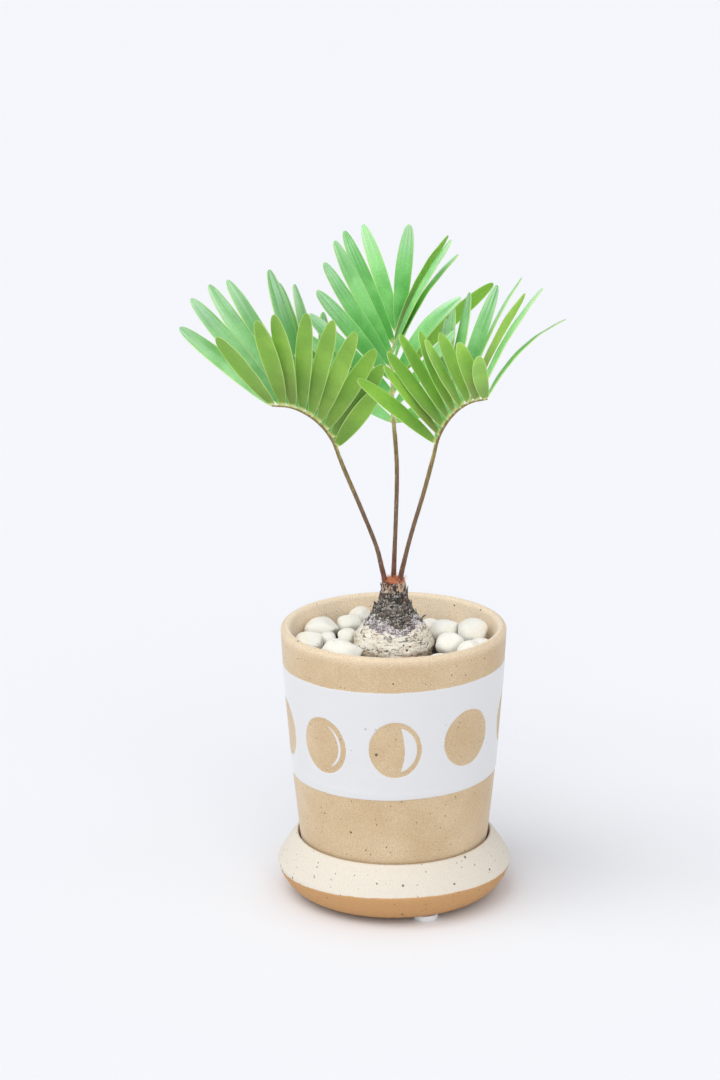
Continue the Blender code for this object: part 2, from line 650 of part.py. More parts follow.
def main():
    """Build every piece round the pot's axis, then centre the whole."""
    clear_scene()
    stand = bpy.data.objects.new("stand", None)
    bpy.context.scene.collection.objects.link(stand)
    make_pads()
    make_saucer()
    make_pot()
    make_soil()
    stalks = {name: make_frond(name, frond) for name, frond in FRONDS.items()}
    make_caudex(stalks)
    make_stones()
    centre_stand()


if __name__ == "__main__":
    main()
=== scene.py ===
"""Looks of a small cycad in its pot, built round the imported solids.

Lengths are in metres, +Z is up and the front of the pot faces -Y. Sizes that end in _mm are millimetres.
Every piece is worked out round the pot's own axis and then moved to where the frame holds the pot.
"""

from __future__ import annotations

import logging
import math
from dataclasses import dataclass, field
from enum import Enum

import bpy
import numpy as np
from mathutils import Matrix, Vector
from numpy.typing import NDArray

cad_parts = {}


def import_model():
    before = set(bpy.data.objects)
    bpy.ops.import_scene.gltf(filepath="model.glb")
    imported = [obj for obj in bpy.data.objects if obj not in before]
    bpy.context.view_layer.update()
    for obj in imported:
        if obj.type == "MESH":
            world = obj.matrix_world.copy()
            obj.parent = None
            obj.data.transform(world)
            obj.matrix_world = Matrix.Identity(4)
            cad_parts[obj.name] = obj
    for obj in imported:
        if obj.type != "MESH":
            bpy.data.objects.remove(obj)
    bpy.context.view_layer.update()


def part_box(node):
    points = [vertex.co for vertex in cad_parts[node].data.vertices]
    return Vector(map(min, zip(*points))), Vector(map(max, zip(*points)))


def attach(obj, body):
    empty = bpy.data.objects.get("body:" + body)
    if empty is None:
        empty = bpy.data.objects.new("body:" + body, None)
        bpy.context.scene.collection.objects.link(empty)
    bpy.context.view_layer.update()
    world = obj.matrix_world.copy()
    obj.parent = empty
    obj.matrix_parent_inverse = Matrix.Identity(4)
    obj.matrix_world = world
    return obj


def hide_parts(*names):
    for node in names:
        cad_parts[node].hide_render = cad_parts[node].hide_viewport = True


Array = NDArray[np.float64]
Index = NDArray[np.int64]
Colour = tuple[float, float, float, float]
Socket = bpy.types.NodeSocket
Material = bpy.types.Material

MM = 0.001
GOLDEN_ANGLE = 2.399963
log = logging.getLogger("potted_zamia")


# Numbers and lines


def seen(red: int, green: int, blue: int) -> Colour:
    """A colour as it looks on screen, from 0 to 255, as the linear colour that a shader takes."""
    shares = [value / 255 for value in (red, green, blue)]
    linear = [s / 12.92 if s <= 0.04045 else ((s + 0.055) / 1.055) ** 2.4 for s in shares]
    return (*linear, 1.0)


def eased(values: Array, low: float, high: float) -> Array:
    """A smooth step: 0 below low, 1 above high, 3t^2 - 2t^3 between them."""
    share = np.clip((values - low) / (high - low), 0, 1)
    return share * share * (3 - 2 * share)


def unit(vectors: Array) -> Array:
    """The vectors at length one."""
    return vectors / np.linalg.norm(vectors, axis=-1, keepdims=True)


def lattice_values(cells: Index, seed: int) -> Array:
    """A repeatable random value from -1 to 1 for each lattice cell, from a hash of its three numbers."""
    mixed = (cells @ np.array([374761393, 668265263, 1442695041]) + seed * 97531) & 0xFFFFFFFF
    mixed = ((mixed ^ (mixed >> 13)) * 1274126177) & 0xFFFFFFFF
    return ((mixed ^ (mixed >> 16)) & 0xFFFF) / 32767.5 - 1


def smooth_noise(points: Array, size: float, seed: int = 0) -> Array:
    """Noise from -1 to 1: random values on a lattice of that size, eased between the cell's eight corners.

    Args:
        points: Points, with their three numbers last.
        size: Width of a lattice cell.
        seed: Which pattern.

    Returns:
        One value for each point.
    """
    spots = points / size
    base = np.floor(spots).astype(np.int64)
    share = spots - base
    share = share * share * (3 - 2 * share)
    total = np.zeros(points.shape[:-1])
    for corner in np.ndindex(2, 2, 2):
        weight = np.where(np.array(corner) == 1, share, 1 - share).prod(axis=-1)
        total += weight * lattice_values(base + np.array(corner), seed)
    return total


def fractal_noise(points: Array, size: float, octaves: int, seed: int = 0) -> Array:
    """Smooth noise with finer layers, each half as large and half as strong as the one before."""
    layers = [smooth_noise(points, size / 2**k, seed + 31 * k) / 2**k for k in range(octaves)]
    return sum(layers) / (2 - 2 ** (1 - octaves))


def smooth_line(points: object, per_span: int) -> Array:
    """A smooth line through the points (Catmull-Rom), with that many steps to each span.

    Args:
        points: What it goes through, as pairs or triples.
        per_span: Steps from one to the next.

    Returns:
        The line's points.
    """
    spots = np.array(points, float)
    spots = np.vstack([2 * spots[0] - spots[1], spots, 2 * spots[-1] - spots[-2]])
    t = np.linspace(0, 1, per_span, endpoint=False)[None, :, None]
    a, b, c, d = (spots[k : len(spots) - 3 + k, None] for k in range(4))
    line = 0.5 * (2 * b + (c - a) * t + (2 * a - 5 * b + 4 * c - d) * t**2 + (3 * b - a - 3 * c + d) * t**3)
    return np.vstack([line.reshape(-1, spots.shape[1]), spots[-2]])


def all_round(count: int) -> Array:
    """That many angles, evenly round a circle."""
    return np.arange(count) * 2 * np.pi / count


def placed(distance: Array | float, heading: Array | float, height: Array | float) -> Array:
    """Points at distances from the axis, headings round it and heights: (d cos a, d sin a, z)."""
    return np.stack(np.broadcast_arrays(distance * np.cos(heading), distance * np.sin(heading), height), -1)


def arc(centre: tuple[float, float], radius: float, start: float, end: float, steps: int) -> Array:
    """Points on a circle's arc in the plane of radius and height, angles in degrees."""
    turns = np.radians(np.linspace(start, end, steps + 1))
    return np.stack([centre[0] + radius * np.cos(turns), centre[1] + radius * np.sin(turns)], axis=1)


# Surfaces


class Ends(Enum):
    """How a run of rings is closed at its two ends."""

    POLES = "each end closes in one point"
    LOOP = "the last ring meets the first"


@dataclass
class Shape:
    """Closed surfaces as arrays, with values carried on their points.

    Attributes:
        points: The points, one row each.
        faces: Arrays of faces with four or three corners.
        values: Numbers or vectors on the points, by name.
        slot: Number of the piece's material that the faces take.
    """

    points: Array
    faces: list[Index]
    values: dict[str, Array] = field(default_factory=dict)
    slot: int = 0


def woven(rings: Array, ends: Ends, values: dict[str, Array] | None = None, slot: int = 0) -> Shape:
    """Join rings of points into closed tubes.

    Quads join each ring to the next. With POLES, a fan of triangles joins each end ring to one point in
    its middle. With LOOP the last ring joins the first. A face is turned round where the volume inside,
    the sum of the triple products of its corners, comes out below 0.

    Args:
        rings: Points as copies x rings x points around x 3.
        ends: How each copy's run of rings is closed.
        values: Values on the points, as copies x rings x points around, or with three numbers each.
        slot: Number of the material.

    Returns:
        The shape, with its faces pointing outwards.
    """
    copies, count, around, _ = rings.shape
    values = values or {}
    row, column = np.meshgrid(np.arange(count - (ends is Ends.POLES)), np.arange(around), indexing="ij")
    ahead, beside = (row + 1) % count * around, (column + 1) % around
    quads = np.stack([row * around + column, row * around + beside, ahead + beside, ahead + column], axis=-1)
    quads = quads.reshape(-1, 4)
    fans = np.zeros((0, 3), np.int64)
    if ends is Ends.POLES:
        here, top = np.arange(around), (count - 1) * around
        after, pole = (here + 1) % around, np.full(around, count * around)
        fans = np.vstack([np.stack([after, here, pole], 1), np.stack([top + here, top + after, pole + 1], 1)])

    def flat(grid: Array) -> Array:
        """One copy's rings as rows, followed with POLES by the two end points."""
        rows = grid.reshape(copies, count * around, -1)
        if ends is Ends.POLES:
            ends_of = grid[:, [0, -1]].reshape(copies, 2, around, -1).mean(axis=2)
            rows = np.concatenate([rows, ends_of], axis=1)
        return rows

    points = flat(rings)
    corners = points[0][quads] - points[0][0]
    halves = corners[:, [0, 1, 2]], corners[:, [0, 2, 3]]
    if sum(np.linalg.det(half).sum() for half in halves) < 0:
        quads, fans = quads[:, ::-1], fans[:, ::-1]
    step = np.arange(copies)[:, None, None] * points.shape[1]
    faces = [(block[None] + step).reshape(-1, block.shape[1]) for block in (quads, fans)]
    carried = {name: flat(grid).reshape(copies * points.shape[1], -1) for name, grid in values.items()}
    return Shape(points.reshape(-1, 3), faces, carried, slot)


def turned(profile: Array, segments: int) -> Array:
    """Rings of a solid of revolution: each point (r, z) goes round the axis."""
    return placed(profile[:, :1], all_round(segments), profile[:, 1:])[None]


def tube(centres: Array, radii: Array, side: Array, segments: int) -> Array:
    """Rings of a round tube: a circle of each radius, square to the line of centres.

    Args:
        centres: The line.
        radii: Radius at each of its points.
        side: Way to each circle's first point.
        segments: Points round.

    Returns:
        The rings, as woven() takes them.
    """
    ahead = unit(np.gradient(centres, axis=0))
    up = unit(np.cross(side, ahead))
    across = np.cross(ahead, up)
    angle = all_round(segments)
    spokes = np.cos(angle)[None, :, None] * across[:, None] + np.sin(angle)[None, :, None] * up[:, None]
    return (centres[:, None] + radii[:, None, None] * spokes)[None]


def piece_of(name: str, shapes: list[Shape], materials: list[Material], axis: Array) -> bpy.types.Object:
    """One object from shapes worked out round the pot's axis.

    Args:
        name: The piece's name.
        shapes: Its surfaces.
        materials: Its materials, in the order of the shapes' slots.
        axis: Where the pot's axis stands.

    Returns:
        The object, at the origin, with its place in its mesh.
    """
    counts = np.cumsum([0] + [len(shape.points) for shape in shapes])
    points = np.vstack([shape.points for shape in shapes]) + axis
    faces, slots = [], []
    for shape, start in zip(shapes, counts):
        for block in shape.faces:
            faces += (block + start).tolist()
            slots += [shape.slot] * len(block)
    mesh = bpy.data.meshes.new(name)
    mesh.from_pydata(points.tolist(), [], faces)
    mesh.polygons.foreach_set("material_index", slots)
    mesh.shade_smooth()
    for material in materials:
        mesh.materials.append(material)
    for value in sorted({value for shape in shapes for value in shape.values}):
        width = max(shape.values[value].shape[1] for shape in shapes if value in shape.values)
        blank = [np.zeros((len(shape.points), width)) for shape in shapes]
        table = np.vstack([shape.values.get(value, empty) for shape, empty in zip(shapes, blank)])
        kind = "FLOAT" if width == 1 else "FLOAT_VECTOR"
        carried = mesh.attributes.new(value, kind, "POINT")
        carried.data.foreach_set("value" if width == 1 else "vector", table.astype(np.float32).ravel())
    mesh.update()
    piece = bpy.data.objects.new(name, mesh)
    bpy.context.scene.collection.objects.link(piece)
    log.info("%s: %d points, %d faces", name, len(points), len(faces))
    return piece


# Node trees


class Sheet:
    """A node tree with short ways to add nodes and join them."""

    def __init__(self, tree: bpy.types.NodeTree) -> None:
        """Keep the tree that the nodes go into."""
        self.tree = tree

    def node(self, kind: str, **settings: object) -> bpy.types.Node:
        """A new node of that kind, with its settings."""
        made = self.tree.nodes.new(kind)
        for name, value in settings.items():
            setattr(made, name, value)
        return made

    def feed(self, socket: Socket, value: object) -> None:
        """Link a socket's output, or set a plain value."""
        if isinstance(value, Socket):
            self.tree.links.new(value, socket)
        else:
            socket.default_value = value

    def math(self, operation: str, first: object, second: object = 0.0, third: object = 0.0) -> Socket:
        """The result of a Math node."""
        made = self.node("ShaderNodeMath", operation=operation)
        for socket, value in zip(made.inputs, (first, second, third)):
            self.feed(socket, value)
        return made.outputs[0]

    def times(self, first: object, second: object) -> Socket:
        """Their product."""
        return self.math("MULTIPLY", first, second)

    def plus(self, first: object, second: object) -> Socket:
        """Their sum."""
        return self.math("ADD", first, second)

    def minus(self, first: object, second: object) -> Socket:
        """The first less the second."""
        return self.math("SUBTRACT", first, second)

    def mix(self, factor: object, first: object, second: object, blend: str = "MIX") -> Socket:
        """A mix of two colours.

        Args:
            factor: Share of the second.
            first: A colour.
            second: Another.
            blend: How they blend.

        Returns:
            The mix.
        """
        made = self.node("ShaderNodeMix", data_type="RGBA", blend_type=blend)
        colours = [socket for socket in made.inputs if socket.type == "RGBA"]
        for socket, value in zip((made.inputs["Factor"], *colours), (factor, first, second)):
            self.feed(socket, value)
        return [socket for socket in made.outputs if socket.type == "RGBA"][0]

    def tint(self, colour: object, shade: object) -> Socket:
        """A colour times a shade."""
        return self.mix(1.0, colour, shade, "MULTIPLY")

    def span(self, value: object, low: float, high: float, start: float = 0.0, end: float = 1.0) -> Socket:
        """The value mapped from low..high to start..end, smoothly, and held at both ends.

        Args:
            value: The value.
            low: Where the span starts.
            high: Where it ends.
            start: What low becomes.
            end: What high becomes.

        Returns:
            The new value.
        """
        made = self.node("ShaderNodeMapRange", interpolation_type="SMOOTHSTEP", clamp=True)
        self.feed(made.inputs["Value"], value)
        for name, number in (("From Min", low), ("From Max", high), ("To Min", start), ("To Max", end)):
            self.feed(made.inputs[name], number)
        return made.outputs["Result"]

    def noise(self, place: Socket, size: object, detail: float = 3.0, roughness: float = 0.55) -> Socket:
        """A noise from 0 to 1 whose patches are about that many metres across.

        Args:
            place: Coordinates.
            size: Width of a patch.
            detail: How many finer layers.
            roughness: How strong those are.

        Returns:
            The noise.
        """
        made = self.node("ShaderNodeTexNoise")
        self.feed(made.inputs["Vector"], place)
        scale = self.math("DIVIDE", 1.0, size) if isinstance(size, Socket) else 1 / size
        self.feed(made.inputs["Scale"], scale)
        self.feed(made.inputs["Detail"], detail)
        self.feed(made.inputs["Roughness"], roughness)
        return made.outputs["Fac"]

    def group(self, tree: bpy.types.NodeTree, **inputs: object) -> bpy.types.Node:
        """A node group, with its inputs by name."""
        made = self.node("ShaderNodeGroup", node_tree=tree)
        for name, value in inputs.items():
            self.feed(made.inputs[name], value)
        return made

    def place(self, stretch: tuple[float, float, float] = (1.0, 1.0, 1.0)) -> Socket:
        """Object coordinates, each axis times its number.

        Args:
            stretch: The numbers.

        Returns:
            The coordinates.
        """
        where = self.node("ShaderNodeTexCoord").outputs["Object"]
        if stretch == (1.0, 1.0, 1.0):
            return where
        made = self.node("ShaderNodeMapping")
        self.feed(made.inputs["Vector"], where)
        made.inputs["Scale"].default_value = stretch
        return made.outputs["Vector"]

    def value(self, name: str) -> Socket:
        """The number that the mesh carries under that name."""
        return self.node("ShaderNodeAttribute", attribute_name=name).outputs["Fac"]

    def triple(self, name: str) -> tuple[Socket, Socket, Socket]:
        """The three numbers that the mesh carries under that name."""
        return self.parts(self.node("ShaderNodeAttribute", attribute_name=name).outputs["Vector"])

    def parts(self, vector: Socket) -> tuple[Socket, Socket, Socket]:
        """The three numbers of a vector."""
        made = self.node("ShaderNodeSeparateXYZ")
        self.feed(made.inputs[0], vector)
        return tuple(made.outputs)

    def point(self, *numbers: object) -> Socket:
        """A vector of three numbers."""
        made = self.node("ShaderNodeCombineXYZ")
        for socket, number in zip(made.inputs, numbers):
            self.feed(socket, number)
        return made.outputs[0]

    def bump(self, height: Socket, distance: float, strength: float = 1.0) -> Socket:
        """The normal of a surface raised by height times distance.

        Args:
            height: The height.
            distance: Metres to a height of 1.
            strength: Share of the effect.

        Returns:
            The normal.
        """
        made = self.node("ShaderNodeBump")
        self.feed(made.inputs["Height"], height)
        made.inputs["Distance"].default_value = distance
        made.inputs["Strength"].default_value = strength
        return made.outputs["Normal"]


def new_group(name: str, inputs: dict[str, str], outputs: dict[str, str]) -> tuple[Sheet, dict, dict]:
    """An empty shader node group with named inputs and outputs.

    Args:
        name: The group's name.
        inputs: Socket kinds by name.
        outputs: Socket kinds by name.

    Returns:
        The group's sheet, its inputs by name, and its outputs by name.
    """
    tree = bpy.data.node_groups.new(name, "ShaderNodeTree")
    for direction, sockets in (("INPUT", inputs), ("OUTPUT", outputs)):
        for socket, kind in sockets.items():
            tree.interface.new_socket(socket, in_out=direction, socket_type=kind)
    sheet = Sheet(tree)
    first, last = sheet.node("NodeGroupInput"), sheet.node("NodeGroupOutput")
    return sheet, {n: first.outputs[n] for n in inputs}, {n: last.inputs[n] for n in outputs}


@dataclass(frozen=True)
class Specks:
    """Round specks: mm from one to the next, radius as a share of that, and the share that are there."""

    spacing_mm: float
    size: float
    share: float


class Effects:
    """Shader node groups that several finishes share, each built once."""

    def __init__(self) -> None:
        """Build the groups."""
        self.specks = self.build_specks()
        self.grain = self.build_grain()

    def build_specks(self) -> bpy.types.NodeTree:
        """Scattered specks: round spots at random cells' points, of random size, in some cells only.

        Returns:
            The group.
        """
        number = "NodeSocketFloat"
        sheet, given, result = new_group(
            "specks",
            {"Place": "NodeSocketVector", "Spacing": number, "Size": number, "Share": number},
            {"Mask": number},
        )
        cells = sheet.node("ShaderNodeTexVoronoi")
        sheet.feed(cells.inputs["Vector"], given["Place"])
        sheet.feed(cells.inputs["Scale"], sheet.math("DIVIDE", 1.0, given["Spacing"]))
        pick, grow, _ = sheet.parts(cells.outputs["Color"])
        reach = sheet.times(given["Size"], sheet.math("MULTIPLY_ADD", grow, 0.7, 0.5))
        spot = sheet.math("LESS_THAN", sheet.math("DIVIDE", cells.outputs["Distance"], reach), 1.0)
        chosen = sheet.math("LESS_THAN", pick, given["Share"])
        sheet.feed(result["Mask"], sheet.times(spot, chosen))
        return sheet.tree

    def build_grain(self) -> bpy.types.NodeTree:
        """Sandy grain: a fine noise for height, and a broad soft one for tone.

        Returns:
            The group.
        """
        number = "NodeSocketFloat"
        sheet, given, result = new_group(
            "grain",
            {"Place": "NodeSocketVector", "Fine": number, "Broad": number},
            {"Height": number, "Tone": number},
        )
        sheet.feed(result["Height"], sheet.noise(given["Place"], given["Fine"], 2.0, 0.6))
        sheet.feed(result["Tone"], sheet.noise(given["Place"], given["Broad"], 4.0, 0.55))
        return sheet.tree

    def specks_on(self, sheet: Sheet, specks: Specks) -> Socket:
        """The mask of some specks on a piece."""
        spacing = specks.spacing_mm * MM
        inputs = {"Place": sheet.place(), "Spacing": spacing, "Size": specks.size, "Share": specks.share}
        return sheet.group(self.specks, **inputs).outputs["Mask"]

    def grain_on(self, sheet: Sheet, fine_mm: float, broad_mm: float) -> tuple[Socket, Socket]:
        """The height and the tone of a grain on a piece."""
        made = sheet.group(self.grain, Place=sheet.place(), Fine=fine_mm * MM, Broad=broad_mm * MM)
        return made.outputs["Height"], made.outputs["Tone"]


# Finishes


class Finish(Sheet):
    """A material's node tree with its Principled shader."""

    def __init__(self, name: str) -> None:
        """Make the material."""
        self.material = bpy.data.materials.new(name)
        self.material.use_nodes = True
        super().__init__(self.material.node_tree)
        self.shader = self.tree.nodes["Principled BSDF"]

    def wear(self, **looks: object) -> Material:
        """Set or link the shader's sockets, named with _ for a space, and give back the material.

        Args:
            looks: Values or outputs by socket.

        Returns:
            The material.
        """
        for name, look in looks.items():
            self.feed(self.shader.inputs[name.replace("_", " ")], look)
        return self.material


@dataclass(frozen=True)
class Stoneware:
    """Unglazed speckled clay, with a white glaze where the mesh says so."""

    clay: Colour = seen(208, 180, 141)
    light_clay: Colour = seen(220, 196, 160)
    # Pale clay for the rim, where it is worn and has a painted highlight, and for the inside, as painted
    # light
    worn_and_lit_clay: Colour = seen(255, 236, 209)
    glaze: Colour = seen(226, 226, 227)
    speck: Colour = seen(74, 58, 46)
    fine: Specks = Specks(2.4, 0.14, 0.3)
    large: Specks = Specks(6.5, 0.11, 0.35)
    grain_mm: float = 0.5
    mottle_mm: float = 24.0
    peel_mm: float = 2.2
    relief_mm: float = 0.11
    clay_roughness: float = 0.78
    glaze_roughness: float = 0.36
    sheen: float = 0.42
    sheen_roughness: float = 0.35

    def material(self, effects: Effects) -> Material:
        """The material.

        Its mesh carries glaze (mm inside the glaze's edge), rough (1 where the clay is coarse) and lip,
        how pale the clay is made: up to 0.5 near the rim, where it is worn and painted with a highlight,
        and 1 inside, as painted light.

        Args:
            effects: The shared node groups.

        Returns:
            The material.
        """
        sheet = Finish("stoneware")
        height, tone = effects.grain_on(sheet, self.grain_mm, self.mottle_mm)
        inside = sheet.minus(sheet.plus(sheet.value("glaze"), sheet.times(height, 0.3)), 0.15)
        glazed = sheet.span(inside, -0.12, 0.14)
        fine, large = effects.specks_on(sheet, self.fine), effects.specks_on(sheet, self.large)
        clay = sheet.mix(sheet.span(tone, 0.25, 0.75), self.clay, self.light_clay)
        # Paler clay by lip: wear and a painted highlight on the rim, painted light on the inner wall
        clay = sheet.mix(sheet.times(sheet.value("lip"), 0.95), clay, self.worn_and_lit_clay)
        clay = sheet.tint(clay, sheet.span(height, 0.3, 0.7, 0.83, 1.12))
        clay = sheet.mix(sheet.times(sheet.math("MAXIMUM", fine, large), 0.85), clay, self.speck)
        white = sheet.mix(sheet.times(large, 0.25), self.glaze, self.speck)
        coarse = sheet.math("MULTIPLY_ADD", sheet.value("rough"), 1.8, 1.1)
        grit = sheet.times(height, sheet.plus(sheet.times(sheet.minus(1.0, glazed), coarse), 1.0))
        peel = sheet.times(sheet.noise(sheet.place(), self.peel_mm * MM, 1.0), 0.8)
        relief = sheet.plus(sheet.plus(grit, peel), sheet.times(glazed, 1.5))
        return sheet.wear(
            Base_Color=sheet.mix(glazed, clay, white),
            Roughness=sheet.span(glazed, 0, 1, self.clay_roughness, self.glaze_roughness),
            Normal=sheet.bump(relief, self.relief_mm * MM, 0.8),
            Sheen_Weight=self.sheen,
            Sheen_Roughness=self.sheen_roughness,
        )


@dataclass(frozen=True)
class SaucerClay:
    """The saucer's clay: a thin cream slip on the shoulder, bare tan clay under the brim."""

    slip: Colour = seen(231, 223, 208)
    tan: Colour = seen(203, 156, 103)
    speck: Colour = seen(92, 70, 52)
    fine: Specks = Specks(2.2, 0.15, 0.34)
    large: Specks = Specks(6.0, 0.11, 0.4)
    grain_mm: float = 0.5
    mottle_mm: float = 6.0
    relief_mm: float = 0.3
    roughness: float = 0.72

    def material(self, effects: Effects) -> Material:
        """The material. Its mesh carries slip, the height in mm above the slip's wavy edge.

        Args:
            effects: The shared node groups.

        Returns:
            The material.
        """
        sheet = Finish("saucer_stoneware")
        height, tone = effects.grain_on(sheet, self.grain_mm, self.mottle_mm)
        wave = sheet.plus(tone, sheet.times(height, 0.5))
        slip = sheet.span(sheet.plus(sheet.value("slip"), sheet.times(wave, 0.8)), 0.3, 0.9)
        fine, large = effects.specks_on(sheet, self.fine), effects.specks_on(sheet, self.large)
        colour = sheet.tint(sheet.mix(slip, self.tan, self.slip), sheet.span(height, 0.3, 0.7, 0.92, 1.05))
        colour = sheet.mix(sheet.times(sheet.math("MAXIMUM", fine, large), 0.8), colour, self.speck)
        normal = sheet.bump(height, self.relief_mm * MM, 0.9)
        return sheet.wear(Base_Color=colour, Roughness=self.roughness, Normal=normal)


@dataclass(frozen=True)
class Rubber:
    """Soft white bumper, smooth and a little cloudy."""

    colour: Colour = seen(236, 240, 242)
    grain_mm: float = 0.8
    cloud_mm: float = 4.0
    relief_mm: float = 0.02
    depth_mm: float = 1.0
    roughness: float = 0.35

    def material(self, effects: Effects) -> Material:
        """The material.

        Args:
            effects: The shared node groups.

        Returns:
            The material.
        """
        sheet = Finish("pad")
        height, tone = effects.grain_on(sheet, self.grain_mm, self.cloud_mm)
        return sheet.wear(
            Base_Color=sheet.tint(self.colour, sheet.span(tone, 0.3, 0.7, 0.93, 1.0)),
            Roughness=self.roughness,
            Subsurface_Weight=0.2,
            Subsurface_Scale=self.depth_mm * MM,
            Normal=sheet.bump(height, self.relief_mm * MM, 0.5),
        )


@dataclass(frozen=True)
class Earth:
    """Dark crumbly soil with paler fibres."""

    dark: Colour = seen(58, 44, 34)
    light: Colour = seen(118, 92, 68)
    grain_mm: float = 0.7
    clod_mm: float = 3.0
    relief_mm: float = 0.5

    def material(self, effects: Effects) -> Material:
        """The material.

        Args:
            effects: The shared node groups.

        Returns:
            The material.
        """
        sheet = Finish("soil")
        height, tone = effects.grain_on(sheet, self.grain_mm, self.clod_mm)
        paler = sheet.span(sheet.times(height, tone), 0.15, 0.42)
        normal = sheet.bump(height, self.relief_mm * MM)
        return sheet.wear(Base_Color=sheet.mix(paler, self.dark, self.light), Roughness=0.95, Normal=normal)


@dataclass(frozen=True)
class WhiteStone:
    """Tumbled white stone with a chalky skin, faint cream veins and a few dark pits."""

    white: Colour = seen(255, 253, 244)
    cream: Colour = seen(246, 238, 218)
    pit: Colour = seen(120, 112, 96)
    pits: Specks = Specks(4.0, 0.1, 0.3)
    grain_mm: float = 0.6
    vein_mm: float = 6.0
    relief_mm: float = 0.18
    depth_mm: float = 3.0

    def material(self, effects: Effects) -> Material:
        """The material.

        Args:
            effects: The shared node groups.

        Returns:
            The material.
        """
        sheet = Finish("pebble")
        height, tone = effects.grain_on(sheet, self.grain_mm, self.vein_mm)
        plain = sheet.span(sheet.math("ABSOLUTE", sheet.minus(tone, 0.5)), 0.0, 0.05)
        colour = sheet.mix(sheet.math("MULTIPLY_ADD", plain, 0.45, 0.5), self.cream, self.white)
        colour = sheet.mix(sheet.times(effects.specks_on(sheet, self.pits), 0.7), colour, self.pit)
        return sheet.wear(
            Base_Color=colour,
            Roughness=sheet.span(height, 0.3, 0.7, 0.5, 0.68),
            Subsurface_Weight=0.4,
            Subsurface_Scale=self.depth_mm * MM,
            Subsurface_Radius=(1.0, 0.95, 0.85),
            Normal=sheet.bump(height, self.relief_mm * MM, 0.7),
        )


